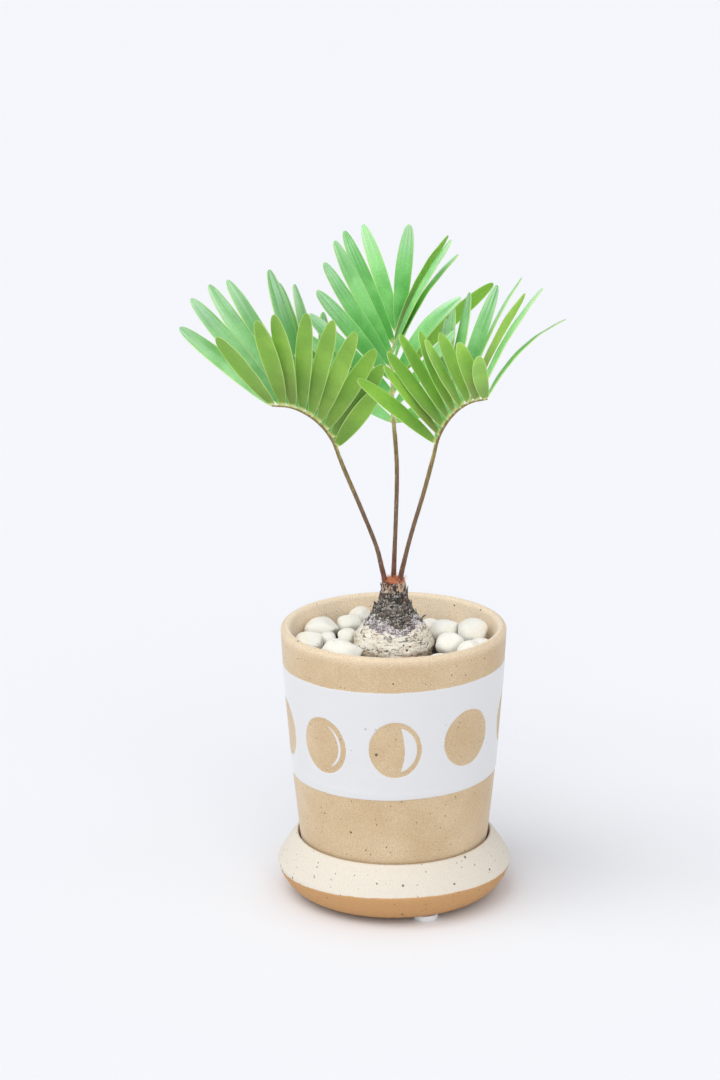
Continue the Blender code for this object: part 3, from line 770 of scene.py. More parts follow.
@dataclass(frozen=True)
class Bark:
    """Papery cream skin on the bulb, pale flakes on its shoulder, dark leaf bases and a tan fringe above."""

    paper: Colour = seen(251, 246, 234)
    ochre: Colour = seen(224, 203, 166)
    # Dark of the cracks, also painted as shade at the flakes' feet
    crack_and_shade: Colour = seen(50, 44, 40)
    earthy: Colour = seen(206, 178, 150)
    flake: Colour = seen(240, 234, 236)
    flake_shade: Colour = seen(136, 124, 128)
    dark: Colour = seen(40, 36, 32)
    mossy: Colour = seen(92, 86, 76)
    dusty: Colour = seen(180, 171, 162)
    red: Colour = seen(100, 56, 50)
    fringe: Colour = seen(214, 186, 160)
    slit: Colour = seen(78, 58, 48)
    lichen: Colour = seen(128, 134, 104)
    flecks: Specks = Specks(1.9, 0.16, 0.4)
    grain_mm: float = 0.5
    patch_mm: float = 2.6
    fibre_mm: float = 0.55
    layer_mm: float = 1.1
    seam_mm: float = 2.4
    blush_mm: float = 9.0
    relief_mm: float = 0.35

    def papery(self, sheet: Sheet, effects: Effects, layers: Socket, rise: Socket) -> Socket:
        """Cream paper in layers with ochre blushes and flecks of lichen, and earthy where rise is below 0.

        Args:
            sheet: The material's nodes.
            effects: The shared node groups.
            layers: Noise in flat layers.
            rise: The zone, made uneven.

        Returns:
            The colour.
        """
        blush = sheet.span(sheet.noise(sheet.place(), self.blush_mm * MM, 1.0), 0.42, 0.56, 0.1, 0.8)
        ochre = sheet.mix(blush, self.paper, self.ochre)
        paper = sheet.mix(sheet.span(layers, 0.36, 0.54), ochre, self.paper)
        paper = sheet.mix(sheet.span(rise, 0.1, -0.9, 0.0, 0.75), paper, self.earthy)
        return sheet.mix(sheet.times(effects.specks_on(sheet, self.flecks), 0.75), paper, self.lichen)

    def scaly(self, sheet: Sheet, hue: Socket, streak: Socket) -> Socket:
        """Leaf bases, near black to mossy, with dusty streaks, and a few of them red."""
        dark = sheet.mix(sheet.span(hue, -0.7, 0.7), self.dark, self.mossy)
        dark = sheet.mix(sheet.span(streak, 0.5, 0.6), dark, self.dusty)
        return sheet.mix(sheet.span(hue, 0.9, 0.97, 0.0, 0.75), dark, self.red)

    def torn(self, sheet: Sheet, patch: Socket, rise: Socket, layers: Socket) -> tuple[Socket, Socket]:
        """Masks of the paper's long seams, and of the splits where its layers end on the shoulder.

        Args:
            sheet: The material's nodes.
            patch: Broad noise round 0.
            rise: The zone, made uneven.
            layers: Noise in flat layers.

        Returns:
            Both masks.
        """
        seam = sheet.noise(sheet.place((0.2, 0.2, 1.0)), self.seam_mm * MM, 3.0, 0.55)
        seam = sheet.span(sheet.math("ABSOLUTE", sheet.minus(seam, 0.5)), 0.022, 0.006)
        seam = sheet.times(seam, sheet.span(patch, -0.04, 0.06, 0.15, 1.0))
        split = sheet.span(sheet.math("ABSOLUTE", sheet.minus(rise, 0.95)), 0.6, 0.2)
        seam = sheet.times(seam, sheet.span(rise, 1.6, 1.2))
        return seam, sheet.times(split, sheet.span(layers, 0.52, 0.56))

    def material(self, effects: Effects) -> Material:
        """The material. Its mesh carries bark (cracks on the body and painted shade at a flake's foot,
        zone, edge of a flake, where a painted highlight goes) and hue, from -1 to 1.

        Args:
            effects: The shared node groups.

        Returns:
            The material.
        """
        sheet = Finish("bark")
        deep, zone, edge = sheet.triple("bark")
        hue = sheet.value("hue")
        patch = sheet.minus(effects.grain_on(sheet, self.grain_mm, self.patch_mm)[1], 0.5)
        fibres = sheet.noise(sheet.place((1.0, 1.0, 0.22)), self.fibre_mm * MM, 3.0, 0.6)
        layers = sheet.noise(sheet.place((0.25, 0.25, 1.6)), self.layer_mm * MM, 4.0, 0.6)
        streak = sheet.times(sheet.plus(fibres, layers), 0.5)
        rise = sheet.math("MULTIPLY_ADD", patch, 2.0, zone)
        flaky = sheet.span(sheet.math("MULTIPLY_ADD", hue, 0.12, streak), 0.4, 0.52)
        frayed = sheet.span(sheet.math("MULTIPLY_ADD", hue, 0.2, fibres), 0.42, 0.56)
        skins = (
            sheet.mix(flaky, self.flake_shade, self.flake),
            self.scaly(sheet, hue, streak),
            sheet.mix(frayed, self.slit, self.fringe),
        )
        colour = self.papery(sheet, effects, layers, sheet.math("MULTIPLY_ADD", patch, 3.0, zone))
        for step, skin in enumerate(skins):
            colour = sheet.mix(sheet.span(rise, step + 0.42, step + 0.58), colour, skin)
        seam, split = self.torn(sheet, patch, rise, layers)
        colour = sheet.mix(sheet.times(sheet.math("MAXIMUM", split, seam), 0.85), colour, self.crack_and_shade)
        # Paler flake edges in patches: painted highlight
        wear_and_highlight = sheet.times(sheet.span(edge, 0.6, 1.0, 0.0, 0.7), sheet.span(patch, -0.08, 0.04))
        colour = sheet.mix(wear_and_highlight, colour, self.flake)
        # Dark cracks in the body, and painted shade at the flakes' feet
        colour = sheet.mix(sheet.span(deep, 0.35, 0.9), colour, self.crack_and_shade)
        relief = sheet.minus(sheet.plus(sheet.times(layers, 1.2), fibres), sheet.times(seam, 0.8))
        normal = sheet.bump(relief, self.relief_mm * MM, 0.9)
        return sheet.wear(Base_Color=colour, Roughness=0.8, Normal=normal)


@dataclass(frozen=True)
class Fuzz:
    """Orange-red wool in the crown."""

    root: Colour = seen(240, 106, 54)
    tip: Colour = seen(255, 186, 142)

    def material(self) -> Material:
        """The material, paler towards the hairs' tips. Its mesh carries along, from 0 to 1 at the tip."""
        sheet = Finish("fuzz")
        return sheet.wear(Base_Color=sheet.mix(sheet.value("along"), self.root, self.tip), Roughness=0.6)


@dataclass(frozen=True)
class Rind:
    """Skin of a petiole and rachis: brown, more olive towards the leaflets, with pale raised dots."""

    sheath: Colour = seen(118, 76, 58)
    brown: Colour = seen(124, 96, 70)
    olive: Colour = seen(146, 126, 72)
    pale: Colour = seen(214, 212, 146)
    dots: Specks = Specks(1.5, 0.2, 0.5)
    streak_mm: float = 0.8
    relief_mm: float = 0.08

    def material(self, effects: Effects) -> Material:
        """The material.

        Its mesh carries along, from 0 in the crown to 1 at the tip, and above, 1 on the upper side.

        Args:
            effects: The shared node groups.

        Returns:
            The material.
        """
        sheet = Finish("petiole")
        along, above = sheet.value("along"), sheet.value("above")
        streaks = sheet.noise(sheet.place((1.0, 1.0, 0.2)), self.streak_mm * MM, 3.0, 0.6)
        dots = effects.specks_on(sheet, self.dots)
        colour = sheet.mix(sheet.span(along, 0.03, 0.2), self.sheath, self.brown)
        colour = sheet.mix(sheet.span(along, 0.3, 0.62), colour, self.olive)
        colour = sheet.mix(sheet.times(above, sheet.span(along, 0.55, 0.66)), colour, self.pale)
        colour = sheet.tint(colour, sheet.span(streaks, 0.36, 0.64, 0.62, 1.2))
        colour = sheet.mix(sheet.times(dots, 0.45), colour, self.pale)
        normal = sheet.bump(sheet.plus(streaks, dots), self.relief_mm * MM, 0.8)
        return sheet.wear(Base_Color=colour, Roughness=0.5, Normal=normal)


@dataclass(frozen=True)
class Leaf:
    """Leathery blade: glossy green above, matte yellow-green below, with a pale margin and fine veins."""

    deep: Colour = seen(104, 174, 92)
    # Pale tips: bloom, and a painted highlight
    fresh: Colour = seen(160, 215, 147)
    bloom_and_highlight: Colour = seen(214, 236, 219)
    below: Colour = seen(168, 214, 82)
    below_deep: Colour = seen(142, 192, 68)
    # Olive on the underside's first half: painted shade where leaflets overlap
    olive: Colour = seen(142, 152, 70)
    margin: Colour = seen(224, 238, 170)
    joint: Colour = seen(222, 228, 160)
    veins: float = 15.0
    grain_mm: float = 0.5
    mottle_mm: float = 26.0
    relief_mm: float = 0.04
    depth_mm: float = 1.2

    def upper(self, sheet: Sheet, light: Socket, blade: tuple[Socket, ...], tone: Socket) -> Socket:
        """The upper side: green, paler towards the tip in lengthwise streaks, partly bloom and partly
        painted highlight.

        Args:
            sheet: The material's nodes.
            light: How light the green is.
            blade: What the mesh carries.
            tone: The leaflet's tone.

        Returns:
            The colour.
        """
        across, along, _ = blade
        streak = sheet.noise(sheet.point(sheet.times(across, 3.0), along, sheet.times(tone, 20.0)), 0.8, 2.0)
        # Paler streaks towards the tip: bloom, and a painted highlight
        bloom_and_highlight = sheet.times(sheet.span(along, 0.5, 1.0, 0.0, 0.75), sheet.span(streak, 0.25, 0.75))
        return sheet.mix(bloom_and_highlight, sheet.mix(sheet.span(light, -0.1, 1.5), self.deep, self.fresh), self.bloom_and_highlight)

    def lower(self, sheet: Sheet, light: Socket, along: Socket, tone: Socket) -> Socket:
        """The underside: yellow-green, with painted shade where leaflets overlap: olive in the first half of
        some blades, darker at the root.

        Args:
            sheet: The material's nodes.
            light: How light the green is.
            along: Place along the blade.
            tone: The leaflet's tone.

        Returns:
            The colour.
        """
        # Painted shade: olive over the first half of some blades, and darker towards the root
        olive_shade = sheet.times(sheet.span(along, 0.6, 0.1, 0.0, 0.7), sheet.span(tone, 0.1, 0.7))
        green = sheet.mix(sheet.span(light, -0.1, 1.1), self.below_deep, self.below)
        return sheet.tint(sheet.mix(olive_shade, green, self.olive), sheet.span(along, 0.08, 0.6, 0.72, 1.0))

    def material(self, effects: Effects) -> Material:
        """The material.

        Its mesh carries blade (place across, place along, 1 on the underside), tone, from -1 to 1, and
        lift, painted light that makes a blade paler, and below 0 darker as painted shade. Above 0 it acts on
        upper sides only.

        Args:
            effects: The shared node groups.

        Returns:
            The material.
        """
        sheet = Finish("leaf")
        across, along, under = blade = sheet.triple("blade")
        tone, lift = sheet.value("tone"), sheet.value("lift")
        height, mottle = effects.grain_on(sheet, self.grain_mm, self.mottle_mm)
        light = sheet.plus(sheet.span(mottle, 0.3, 0.7), sheet.times(tone, 0.3))
        upper, lower = self.upper(sheet, light, blade, tone), self.lower(sheet, light, along, tone)
        wave = sheet.math("SINE", sheet.times(across, self.veins * math.pi))
        fine = sheet.times(sheet.span(wave, -1.0, 1.0, 0.96, 1.04), sheet.span(height, 0.3, 0.7, 0.9, 1.1))
        colour = sheet.tint(sheet.mix(under, upper, lower), fine)
        # Painted light and shade: lift makes each row paler or darker
        lift = sheet.minus(lift, sheet.times(under, sheet.math("MAXIMUM", lift, 0.0)))
        colour = sheet.tint(colour, sheet.span(lift, -3.0, 3.0, 0.64, 1.36))
        rim = sheet.span(sheet.math("ABSOLUTE", across), 0.88, 0.98, 0.0, 0.65)
        colour = sheet.mix(rim, colour, self.margin)
        colour = sheet.mix(sheet.span(along, 0.055, 0.015), colour, self.joint)
        return sheet.wear(
            Base_Color=colour,
            Roughness=sheet.span(under, 0.0, 1.0, 0.3, 0.55),
            Subsurface_Weight=0.75,
            Subsurface_Scale=self.depth_mm * MM,
            Subsurface_Radius=(0.7, 1.0, 0.35),
            Normal=sheet.bump(sheet.plus(sheet.times(wave, 0.5), height), self.relief_mm * MM, 0.7),
        )


@dataclass(frozen=True)
class PaleFloor:
    """Plain pale floor."""

    colour: Colour = seen(242, 244, 248)

    def material(self) -> Material:
        """The material."""
        return Finish("floor").wear(Base_Color=self.colour, Roughness=0.9)


# The pot and its saucer


class Moon(Enum):
    """Where the glaze shows in a bare disc: inside one circle and outside another.

    Numbers are in disc radii: the first circle's radius, then how far to the right the second circle's
    centre lies, and its radius.
    """

    FULL = (0.0, 0.0, 1.0)
    ARC = (0.78, -0.1525, 0.8225)
    CRESCENT = (0.82, -1.761, 2.111)


@dataclass
class Pot:
    """Tapered cup with a rounded lip and a raised band of white glaze with bare discs in it."""

    foot_mm: float = 7.6
    rim_mm: float = 136.9
    wall_mm: float = 4.6
    floor_mm: float = 6.0
    foot_radius_mm: float = 44.1
    taper: float = 0.1292
    bulge_per_mm: float = 0.00032
    drain_radius_mm: float = 5.0
    foot_rounding_mm: float = 2.0
    band_low_mm: float = 63.7
    band_high_mm: float = 119.7
    band_tilt: float = 0.019
    disc_width_mm: float = 25.5
    disc_height_mm: float = 28.8
    disc_middle_mm: float = 90.1
    disc_tilt: float = 0.05
    glaze_mm: float = 0.22
    edge_wander_mm: float = 0.22
    bead_mm: float = 0.12
    bead_rise_mm: float = 2.6
    bead_width_mm: float = 1.3
    unevenness_mm: float = 0.09
    uneven_from_mm: float = 12.0
    smooth_ring: float = 0.87
    half_coarse: float = 0.35
    worn_and_lit_rim_mm: tuple[float, float] = (5.5, 0.6)
    rings_over_lip: int = 6
    segments: int = 448
    discs: tuple[tuple[float, Moon, int, float], ...] = (
        # degrees from the front towards the right, form, side of the crescent, share of the usual width
        (-80.0, Moon.FULL, 1, 1.0),
        (-40.5, Moon.ARC, 1, 1.0),
        (0.2, Moon.CRESCENT, 1, 1.0),
        (41.8, Moon.FULL, 1, 1.08),
        (86.0, Moon.FULL, 1, 1.0),
        (125.0, Moon.CRESCENT, -1, 1.0),
        (164.0, Moon.ARC, -1, 1.0),
        (203.0, Moon.ARC, 1, 1.0),
        (241.0, Moon.CRESCENT, 1, 1.0),
    )

    def radius(self, height_mm: Array) -> Array:
        """Outer radius in mm at a height: foot radius + taper x rise - bulge x rise squared."""
        rise = height_mm - self.foot_mm
        return self.foot_radius_mm + self.taper * rise - self.bulge_per_mm * rise * rise

    def profile(self) -> tuple[Array, int, int]:
        """The cup's section, from the drain hole's edge round the outside and the lip to the floor.

        Returns:
            A loop of (radius, height) in mm, and where in it the outer side starts and ends.
        """
        lip = self.wall_mm / 2
        rounding = self.foot_rounding_mm
        low, high = self.foot_mm + rounding, self.rim_mm - lip
        band = (self.band_low_mm - 3, self.band_high_mm + 3)
        heights = np.concatenate(
            [
                np.linspace(low, band[0], 26, endpoint=False),
                np.linspace(*band, 100, endpoint=False),
                np.linspace(band[1], high, 10),
            ]
        )
        floor = self.foot_mm + self.floor_mm
        inner = np.linspace(high, floor + self.wall_mm, 14)[1:]
        corner = self.radius(inner[-1]) - 2 * self.wall_mm
        foot_arc = arc((self.foot_radius_mm + 0.2 - rounding, low), rounding, -90, -8, 6)
        lip_arc = arc((self.radius(high) - lip, high), lip, 0, 180, 14)[1:]
        parts = [
            np.array([[self.drain_radius_mm, self.foot_mm], [30.0, self.foot_mm]]),
            foot_arc,
            np.stack([self.radius(heights), heights], 1),
            lip_arc,
            np.stack([self.radius(inner) - self.wall_mm, inner], 1),
            arc((corner, floor + self.wall_mm), self.wall_mm, 0, -90, 5)[1:],
            np.array([[self.drain_radius_mm, floor]]),
        ]
        start = len(parts[0]) + len(foot_arc)
        return np.vstack(parts), start, start + len(heights)

    def glaze_edge(self, angle: Array, height_mm: Array) -> tuple[Array, Array]:
        """How far inside the glaze a place on the wall is.

        The band lies between two slightly tilted lines. A disc is an ellipse; its white part is what lies
        inside one circle and outside another. Each is a distance to the edge, and the least one counts.

        Args:
            angle: Angle round the axis from +X, in radians.
            height_mm: Height.

        Returns:
            The distance in mm, below 0 on bare clay, and how coarse the clay is: 1 in a full disc, save
            for a smooth ring near its edge, and half_coarse in the others.
        """
        radius = self.radius(height_mm)
        sideways = radius * np.cos(angle)
        band = np.minimum(
            height_mm - self.band_low_mm - self.band_tilt * sideways,
            self.band_high_mm + self.band_tilt * sideways - height_mm,
        )
        best = np.full(angle.shape, np.inf)
        edge, rough = band.copy(), np.zeros(angle.shape)
        scale = self.disc_width_mm / 2
        for degrees, moon, side, wider in self.discs:
            centre = math.radians(degrees - 90)
            apart = (angle - centre + np.pi) % (2 * np.pi) - np.pi
            x = side * apart * radius / (wider * scale)
            middle = self.disc_middle_mm + self.disc_tilt * radius * math.cos(centre)
            y = (height_mm - middle) / (self.disc_height_mm / 2)
            away = np.hypot(x, y)
            outer, shift, inner = moon.value
            bare = (1 - away) * scale
            white = np.minimum(outer - away, np.hypot(x - shift, y) - inner) * scale
            near = np.abs(x) < best
            best = np.where(near, np.abs(x), best)
            edge = np.where(near, np.minimum(band, np.maximum(-bare, white)), edge)
            ring = eased(np.abs(away - self.smooth_ring) * scale, 0.15, 0.5)
            coarse = (ring if moon is Moon.FULL else self.half_coarse) * (bare > 0.4)
            rough = np.where(near, coarse, rough)
        return edge, rough

    def shape(self) -> Shape:
        """The cup: the section turned round the axis, raised by the glaze's thickness where it is glazed.

        Returns:
            The shape, which carries glaze, rough and lip.
        """
        profile, first, last = self.profile()
        rings = turned(profile, self.segments)
        angle, height = np.arctan2(rings[0, ..., 1], rings[0, ..., 0]), rings[0, ..., 2]
        # Off the outer side there is no glaze: -9 stands for far outside its edge.
        edge, rough = np.full(height.shape, -9.0), np.zeros(height.shape)
        wall = slice(first, last)
        edge[wall], rough[wall] = self.glaze_edge(angle[wall], height[wall])
        edge = np.where(edge > -8, edge + self.edge_wander_mm * fractal_noise(rings[0], 4.5, 3, 9), edge)
        above = (height - self.band_low_mm - self.bead_rise_mm) / self.bead_width_mm
        bead = self.bead_mm * np.exp(-(above**2)) * (edge > 0)
        raised = self.glaze_mm * eased(edge, -0.25, 0.3) + bead
        uneven = self.unevenness_mm * smooth_noise(rings[0] / np.array([1.0, 1.0, 0.5]), 16.0, 3)
        outward = placed(1.0, angle, 0.0)
        raised = raised + uneven * (height > self.uneven_from_mm)
        rings = rings + raised[None, ..., None] * outward
        # Paler clay near the rim, worn and with a painted highlight, and all over the inside as painted light
        wear_and_highlight = 0.5 * eased(height, *(self.rim_mm - below for below in self.worn_and_lit_rim_mm))
        inside = np.arange(len(height))[:, None] >= last + self.rings_over_lip
        values = {"glaze": edge, "rough": rough, "lip": np.maximum(wear_and_highlight, inside)}
        return woven(rings * MM, Ends.LOOP, {name: value[None, ..., None] for name, value in values.items()})


@dataclass
class Saucer:
    """Ring-shaped dish: flat base, rounded side, a brim, and a cone-shaped shoulder up to the pot."""

    base_mm: float = 2.3
    base_radius_mm: float = 49.0
    brim_radius_mm: float = 58.0
    brim_mm: float = 14.8
    side_power: float = 1.38
    swell_mm: float = 0.4
    lip_radius_mm: float = 48.4
    lip_mm: float = 29.7
    floor_mm: float = 5.0
    clearance_mm: float = 0.9
    slip_mm: float = 14.9
    slip_dip_mm: float = 1.1
    slip_lean_mm: float = 0.6
    unevenness_mm: float = 0.15
    segments: int = 320

    def profile(self, pot: Pot) -> Array:
        """The section from the axis at the base to the axis in the well.

        The side is a quarter turn whose sine and cosine are raised to side_power; the shoulder is a line
        that swells by swell_mm.

        Args:
            pot: The pot that stands in it.

        Returns:
            The section as (radius, height) in mm.
        """
        turn = np.radians(np.linspace(0, 90, 26))
        low = np.array([self.base_radius_mm, self.base_mm])
        brim = np.array([self.brim_radius_mm, self.brim_mm])
        bend = np.stack([np.sin(turn) ** self.side_power, 1 - np.cos(turn) ** self.side_power], axis=1)
        side = low + (brim - low) * bend
        edge = brim + np.array([[-0.04, 0.5], [-0.16, 0.95], [-0.4, 1.4]])
        share = np.linspace(0, 0.95, 26)[:, None]
        start, end = brim + np.array([-0.7, 1.8]), np.array([self.lip_radius_mm, self.lip_mm])
        swell = self.swell_mm * np.sin(np.pi * share) * np.array([0.83, 0.55])
        shoulder = start + (end - start) * share + swell
        inner = pot.radius(self.lip_mm) + self.clearance_mm
        lip = [[self.lip_radius_mm - 0.35, self.lip_mm - 0.15], [inner + 0.3, self.lip_mm - 0.25]]
        well, floor = pot.radius(pot.foot_mm) + self.clearance_mm, self.base_mm + self.floor_mm
        wall = [[inner, self.lip_mm - 1.0], [well + 0.2, floor + 2.0]]
        bottom = [[well - 1.0, floor], [20.0, floor], [0.5, floor]]
        foot = [[0.5, self.base_mm], [25.0, self.base_mm], [self.base_radius_mm - 1, self.base_mm]]
        return np.vstack([foot, side, edge, shoulder, lip, wall, bottom])

    def shape(self, pot: Pot) -> Shape:
        """The dish, turned round the axis, very slightly uneven.

        The slip's edge dips below the brim at both sides, by a cosine of twice the angle from the front.

        Args:
            pot: The pot that stands in it.

        Returns:
            The shape, which carries slip.
        """
        rings = turned(self.profile(pot), self.segments)
        angle = np.arctan2(rings[..., 1], rings[..., 0])
        outer = (np.hypot(rings[..., 0], rings[..., 1]) > 50) * (rings[..., 2] > 6)
        uneven = self.unevenness_mm * smooth_noise(rings, 18.0, 5) * outer
        rings = rings + uneven[..., None] * placed(1.0, angle, 0.0)
        edge = self.slip_mm - self.slip_dip_mm * np.cos(2 * angle) + self.slip_lean_mm * np.cos(angle)
        slip = np.where(rings[..., 2] > 4, rings[..., 2] - edge, -9.0)
        return woven(rings * MM, Ends.POLES, {"slip": slip[..., None]})


@dataclass
class Pad:
    """Round soft bumper under the saucer."""

    radius_mm: float = 6.2
    thickness_mm: float = 3.0
    sole_mm: float = -1.0
    count: int = 3
    ring_mm: float = 44.0
    first_degrees: float = -70.3
    softness_mm: float = 0.5
    segments: int = 64

    def shape(self, number: int) -> Shape:
        """One of the discs: a section with rounded rims, turned round, and moved out to its place.

        Args:
            number: Which one, from 0.

        Returns:
            The shape.
        """
        soft, radius, top = self.softness_mm, self.radius_mm, self.thickness_mm
        heading = math.radians(self.first_degrees + 360 / self.count * number)
        section = np.vstack(
            [
                [[0.4, 0.0], [radius * 0.6, 0.0]],
                arc((radius - soft, soft), soft, -90, 0, 5),
                arc((radius - soft, top - soft), soft, 0, 90, 5),
                [[radius * 0.6, top], [0.4, top]],
            ]
        )
        place = placed(self.ring_mm, heading, self.sole_mm)
        return woven((turned(section, self.segments) + place) * MM, Ends.POLES)


# Soil and stones


@dataclass
class Soil:
    """Crumbly soil that fills the pot, with loose crumbs on top."""

    top_mm: float = 121.0
    floor_mm: float = 13.9
    clearance_mm: float = 0.3
    roughness_mm: float = 0.9
    sunk_mm: float = 0.3
    crumbs: int = 900
    crumb_mm: tuple[float, float] = (0.35, 1.15)
    segments: int = 160
    seed: int = 5

    def shapes(self, pot: Pot) -> list[Shape]:
        """The filled body, rough on top, and its crumbs.

        Args:
            pot: The pot that it fills.

        Returns:
            Both shapes.
        """
        wall = np.linspace(self.floor_mm + pot.wall_mm, self.top_mm - 1, 5)
        side = np.stack([pot.radius(wall) - pot.wall_mm - self.clearance_mm, wall], 1)
        reach = side[-1, 0]
        flat = np.stack([np.linspace(reach - 0.4, 1.0, 48), np.full(48, self.top_mm)], 1)
        base = np.stack([[1.0, 20.0, side[0, 0] - pot.wall_mm], np.full(3, self.floor_mm)], 1)
        rings = turned(np.vstack([base, side, flat]), self.segments)
        surface = rings[..., 2] >= self.top_mm - 0.01
        rings[..., 2] += surface * (self.roughness_mm * fractal_noise(rings, 5.0, 4, 11) - self.sunk_mm)
        body = woven(rings * MM, Ends.POLES)
        return [body, self.crumbs_on(reach)]

    def crumbs_on(self, reach: float) -> Shape:
        """Small angular crumbs: balls of three rings of six points, each drawn out and turned at random.

        Args:
            reach: The soil's radius in mm.

        Returns:
            All crumbs as one shape.
        """
        draw = np.random.default_rng(self.seed)
        distance = reach * np.sqrt(draw.uniform(0.12, 0.93, self.crumbs))
        heading = draw.uniform(0, 2 * np.pi, self.crumbs)
        size = draw.uniform(*self.crumb_mm, (self.crumbs, 1, 1, 3)) * np.array([1.0, 1.0, 0.6])
        level = np.array([-0.7, 0.0, 0.7])[:, None]
        ball = placed(0.8, all_round(6), level) * size * draw.uniform(0.75, 1.25, (self.crumbs, 3, 6, 1))
        turn = draw.uniform(0, 2 * np.pi, self.crumbs)[:, None, None]
        x = ball[..., 0] * np.cos(turn) - ball[..., 1] * np.sin(turn)
        y = ball[..., 0] * np.sin(turn) + ball[..., 1] * np.cos(turn)
        middle = placed(distance, heading, self.top_mm + 0.2)
        return woven((np.stack([x, y, ball[..., 2]], -1) + middle[:, None, None]) * MM, Ends.POLES)


@dataclass
class Stones:
    """Loose tumbled stones on the soil, packed side by side between the pot's wall and the stem."""

    ground_mm: float = 121.3
    bulb_mm: float = 20.2
    clearance_mm: float = 0.2
    wall_clearance_mm: float = 1.2
    neighbour_mm: float = 35.0
    sharpness: float = 13.0
    facets: int = 7
    facet_depth: tuple[float, float] = (0.8, 0.17)
    pitting: float = 0.02
    lumpiness: float = 0.035
    rings: int = 46
    segments: int = 72
    table: tuple[tuple[float, ...], ...] = (
        # place to the right of and behind the pot's axis, turn in degrees, then length, breadth and height
        (-35.0, 23.5, 0, 23.0, 20.0, 11.5),
        (-21.5, 29.0, 0, 16.5, 14.5, 11.5),
        (-16.2, 42.6, 0, 13.0, 13.0, 11.5),
        (-41.3, 2.5, 0, 17.5, 17.0, 11.0),
        (-24.8, -17.0, -14, 33.0, 19.0, 13.5),
        (-22.9, 9.5, 0, 12.0, 14.5, 10.5),
        (-32.0, 9.5, 0, 11.0, 13.5, 8.5),
        (18.5, 26.0, 0, 13.0, 14.0, 10.0),
        (26.5, 14.5, 0, 19.5, 18.5, 13.5),
        (38.8, 11.5, 0, 20.0, 20.5, 14.5),
        (28.0, -7.5, 0, 17.5, 18.5, 13.5),
        (37.5, -15.5, 0, 16.5, 16.0, 12.0),
        (42.5, -4.0, 0, 13.5, 13.5, 9.5),
        (22.1, -34.0, 0, 18.5, 18.5, 11.0),
        (8.7, -26.6, 0, 13.5, 11.5, 6.5),
        (-4.1, -29.2, 0, 15.0, 14.5, 7.0),
        (5.3, -42.9, 0, 20.0, 13.0, 10.0),
        (-12.6, -41.1, 15, 14.5, 16.5, 10.5),
        (-27.5, -35.1, -40, 14.5, 11.0, 10.5),
        (-43.4, -14.1, 0, 10.5, 14.5, 10.0),
        (30.0, 32.2, -45, 15.0, 13.5, 5.5),
        (15.5, 36.0, 0, 12.5, 11.0, 5.0),
        (8.0, 44.5, 0, 13.5, 9.0, 5.0),
        (-1.7, 33.0, 0, 15.0, 12.0, 7.5),
        (-5.5, 44.8, 0, 13.5, 8.5, 5.0),
    )

    def centre(self, number: int) -> Array:
        """A stone's middle."""
        x, y, _, _, _, height = self.table[number]
        return np.array([x, y, self.ground_mm + height / 2])

    def reach(self, number: int, heading: Array) -> Array:
        """Distance from a stone's middle to its plain ball shape, drawn out to its three sizes.

        Args:
            number: Which stone, from 0.
            heading: Directions of length one.

        Returns:
            The distances in mm.
        """
        turn = math.radians(self.table[number][2])
        c, s = math.cos(turn), math.sin(turn)
        own = heading @ np.array([[c, -s, 0], [s, c, 0], [0, 0, 1]])
        return 1 / np.linalg.norm(own / (np.array(self.table[number][3:]) / 2), axis=-1)

    def planes(self, number: int, pot: Pot) -> tuple[Array, Array]:
        """Flat sides of a stone: their outward directions, and their distances from its middle.

        One faces each neighbour, half way between the two, one each the wall, the stem and the soil. A few
        of its own, spread like the seeds of a sunflower, make it a worn, angular stone.

        Args:
            number: Which stone, from 0.
            pot: The pot round the stones.

        Returns:
            The directions and distances.
        """
        middle = self.centre(number)
        ring = math.hypot(middle[0], middle[1])
        radial = np.array([middle[0] / ring, middle[1] / ring, 0.0])
        sides = [radial, -radial, np.array([0.0, 0.0, -1.0])]
        distances = [
            float(pot.radius(self.ground_mm)) - pot.wall_mm - ring - self.wall_clearance_mm,
            ring - self.bulb_mm - self.clearance_mm,
            middle[2] - self.ground_mm,
        ]
        for other in range(len(self.table)):
            away = self.centre(other) - middle
            apart = float(np.linalg.norm(away))
            if 0 < apart < self.neighbour_mm:
                mine, theirs = self.reach(number, away / apart), self.reach(other, -away / apart)
                sides.append(away / apart)
                distances.append(apart * mine / (mine + theirs) - self.clearance_mm)
        least, more = self.facet_depth
        for k in range(self.facets):
            rise = 1 - 2 * (k + 0.5) / self.facets
            turn, level = GOLDEN_ANGLE * k + 1.7 * number, math.sqrt(1 - rise * rise)
            side = placed(level, turn, rise)
            sides.append(side)
            kept = least + more * math.sin(5.1 * k + 2.3 * number) ** 2
            distances.append(float(self.reach(number, side)) * kept)
        return np.array(sides), np.array(distances)

    def shape(self, number: int, pot: Pot) -> Shape:
        """One stone, a rounded block.

        In each direction its reach is the p-norm mean of the ball's reach and the distances to its flat
        sides, 1 / (sum of (1 / distance)^p)^(1/p), so it lies inside all of them. Fine noise pits it.

        Args:
            number: Which stone, from 0.
            pot: The pot round the stones.

        Returns:
            The shape.
        """
        level = np.linspace(0, np.pi, self.rings)[1:-1, None]
        ball = placed(np.sin(level), all_round(self.segments), np.cos(level))
        sides, distances = self.planes(number, pot)
        power = self.sharpness
        near = (np.maximum(ball @ sides.T, 0) / distances) ** power
        reach = (self.reach(number, ball) ** -power + near.sum(axis=-1)) ** (-1 / power)
        place = ball * reach[..., None] + self.centre(number)
        pits = self.pitting * (1 + fractal_noise(place, 2.4, 4, number))
        lumps = self.lumpiness * (1 + smooth_noise(place, 5.5, number))
        reach = reach * (1 - pits - lumps)
        return woven((self.centre(number) + ball * reach[..., None])[None] * MM, Ends.POLES)


# The plant


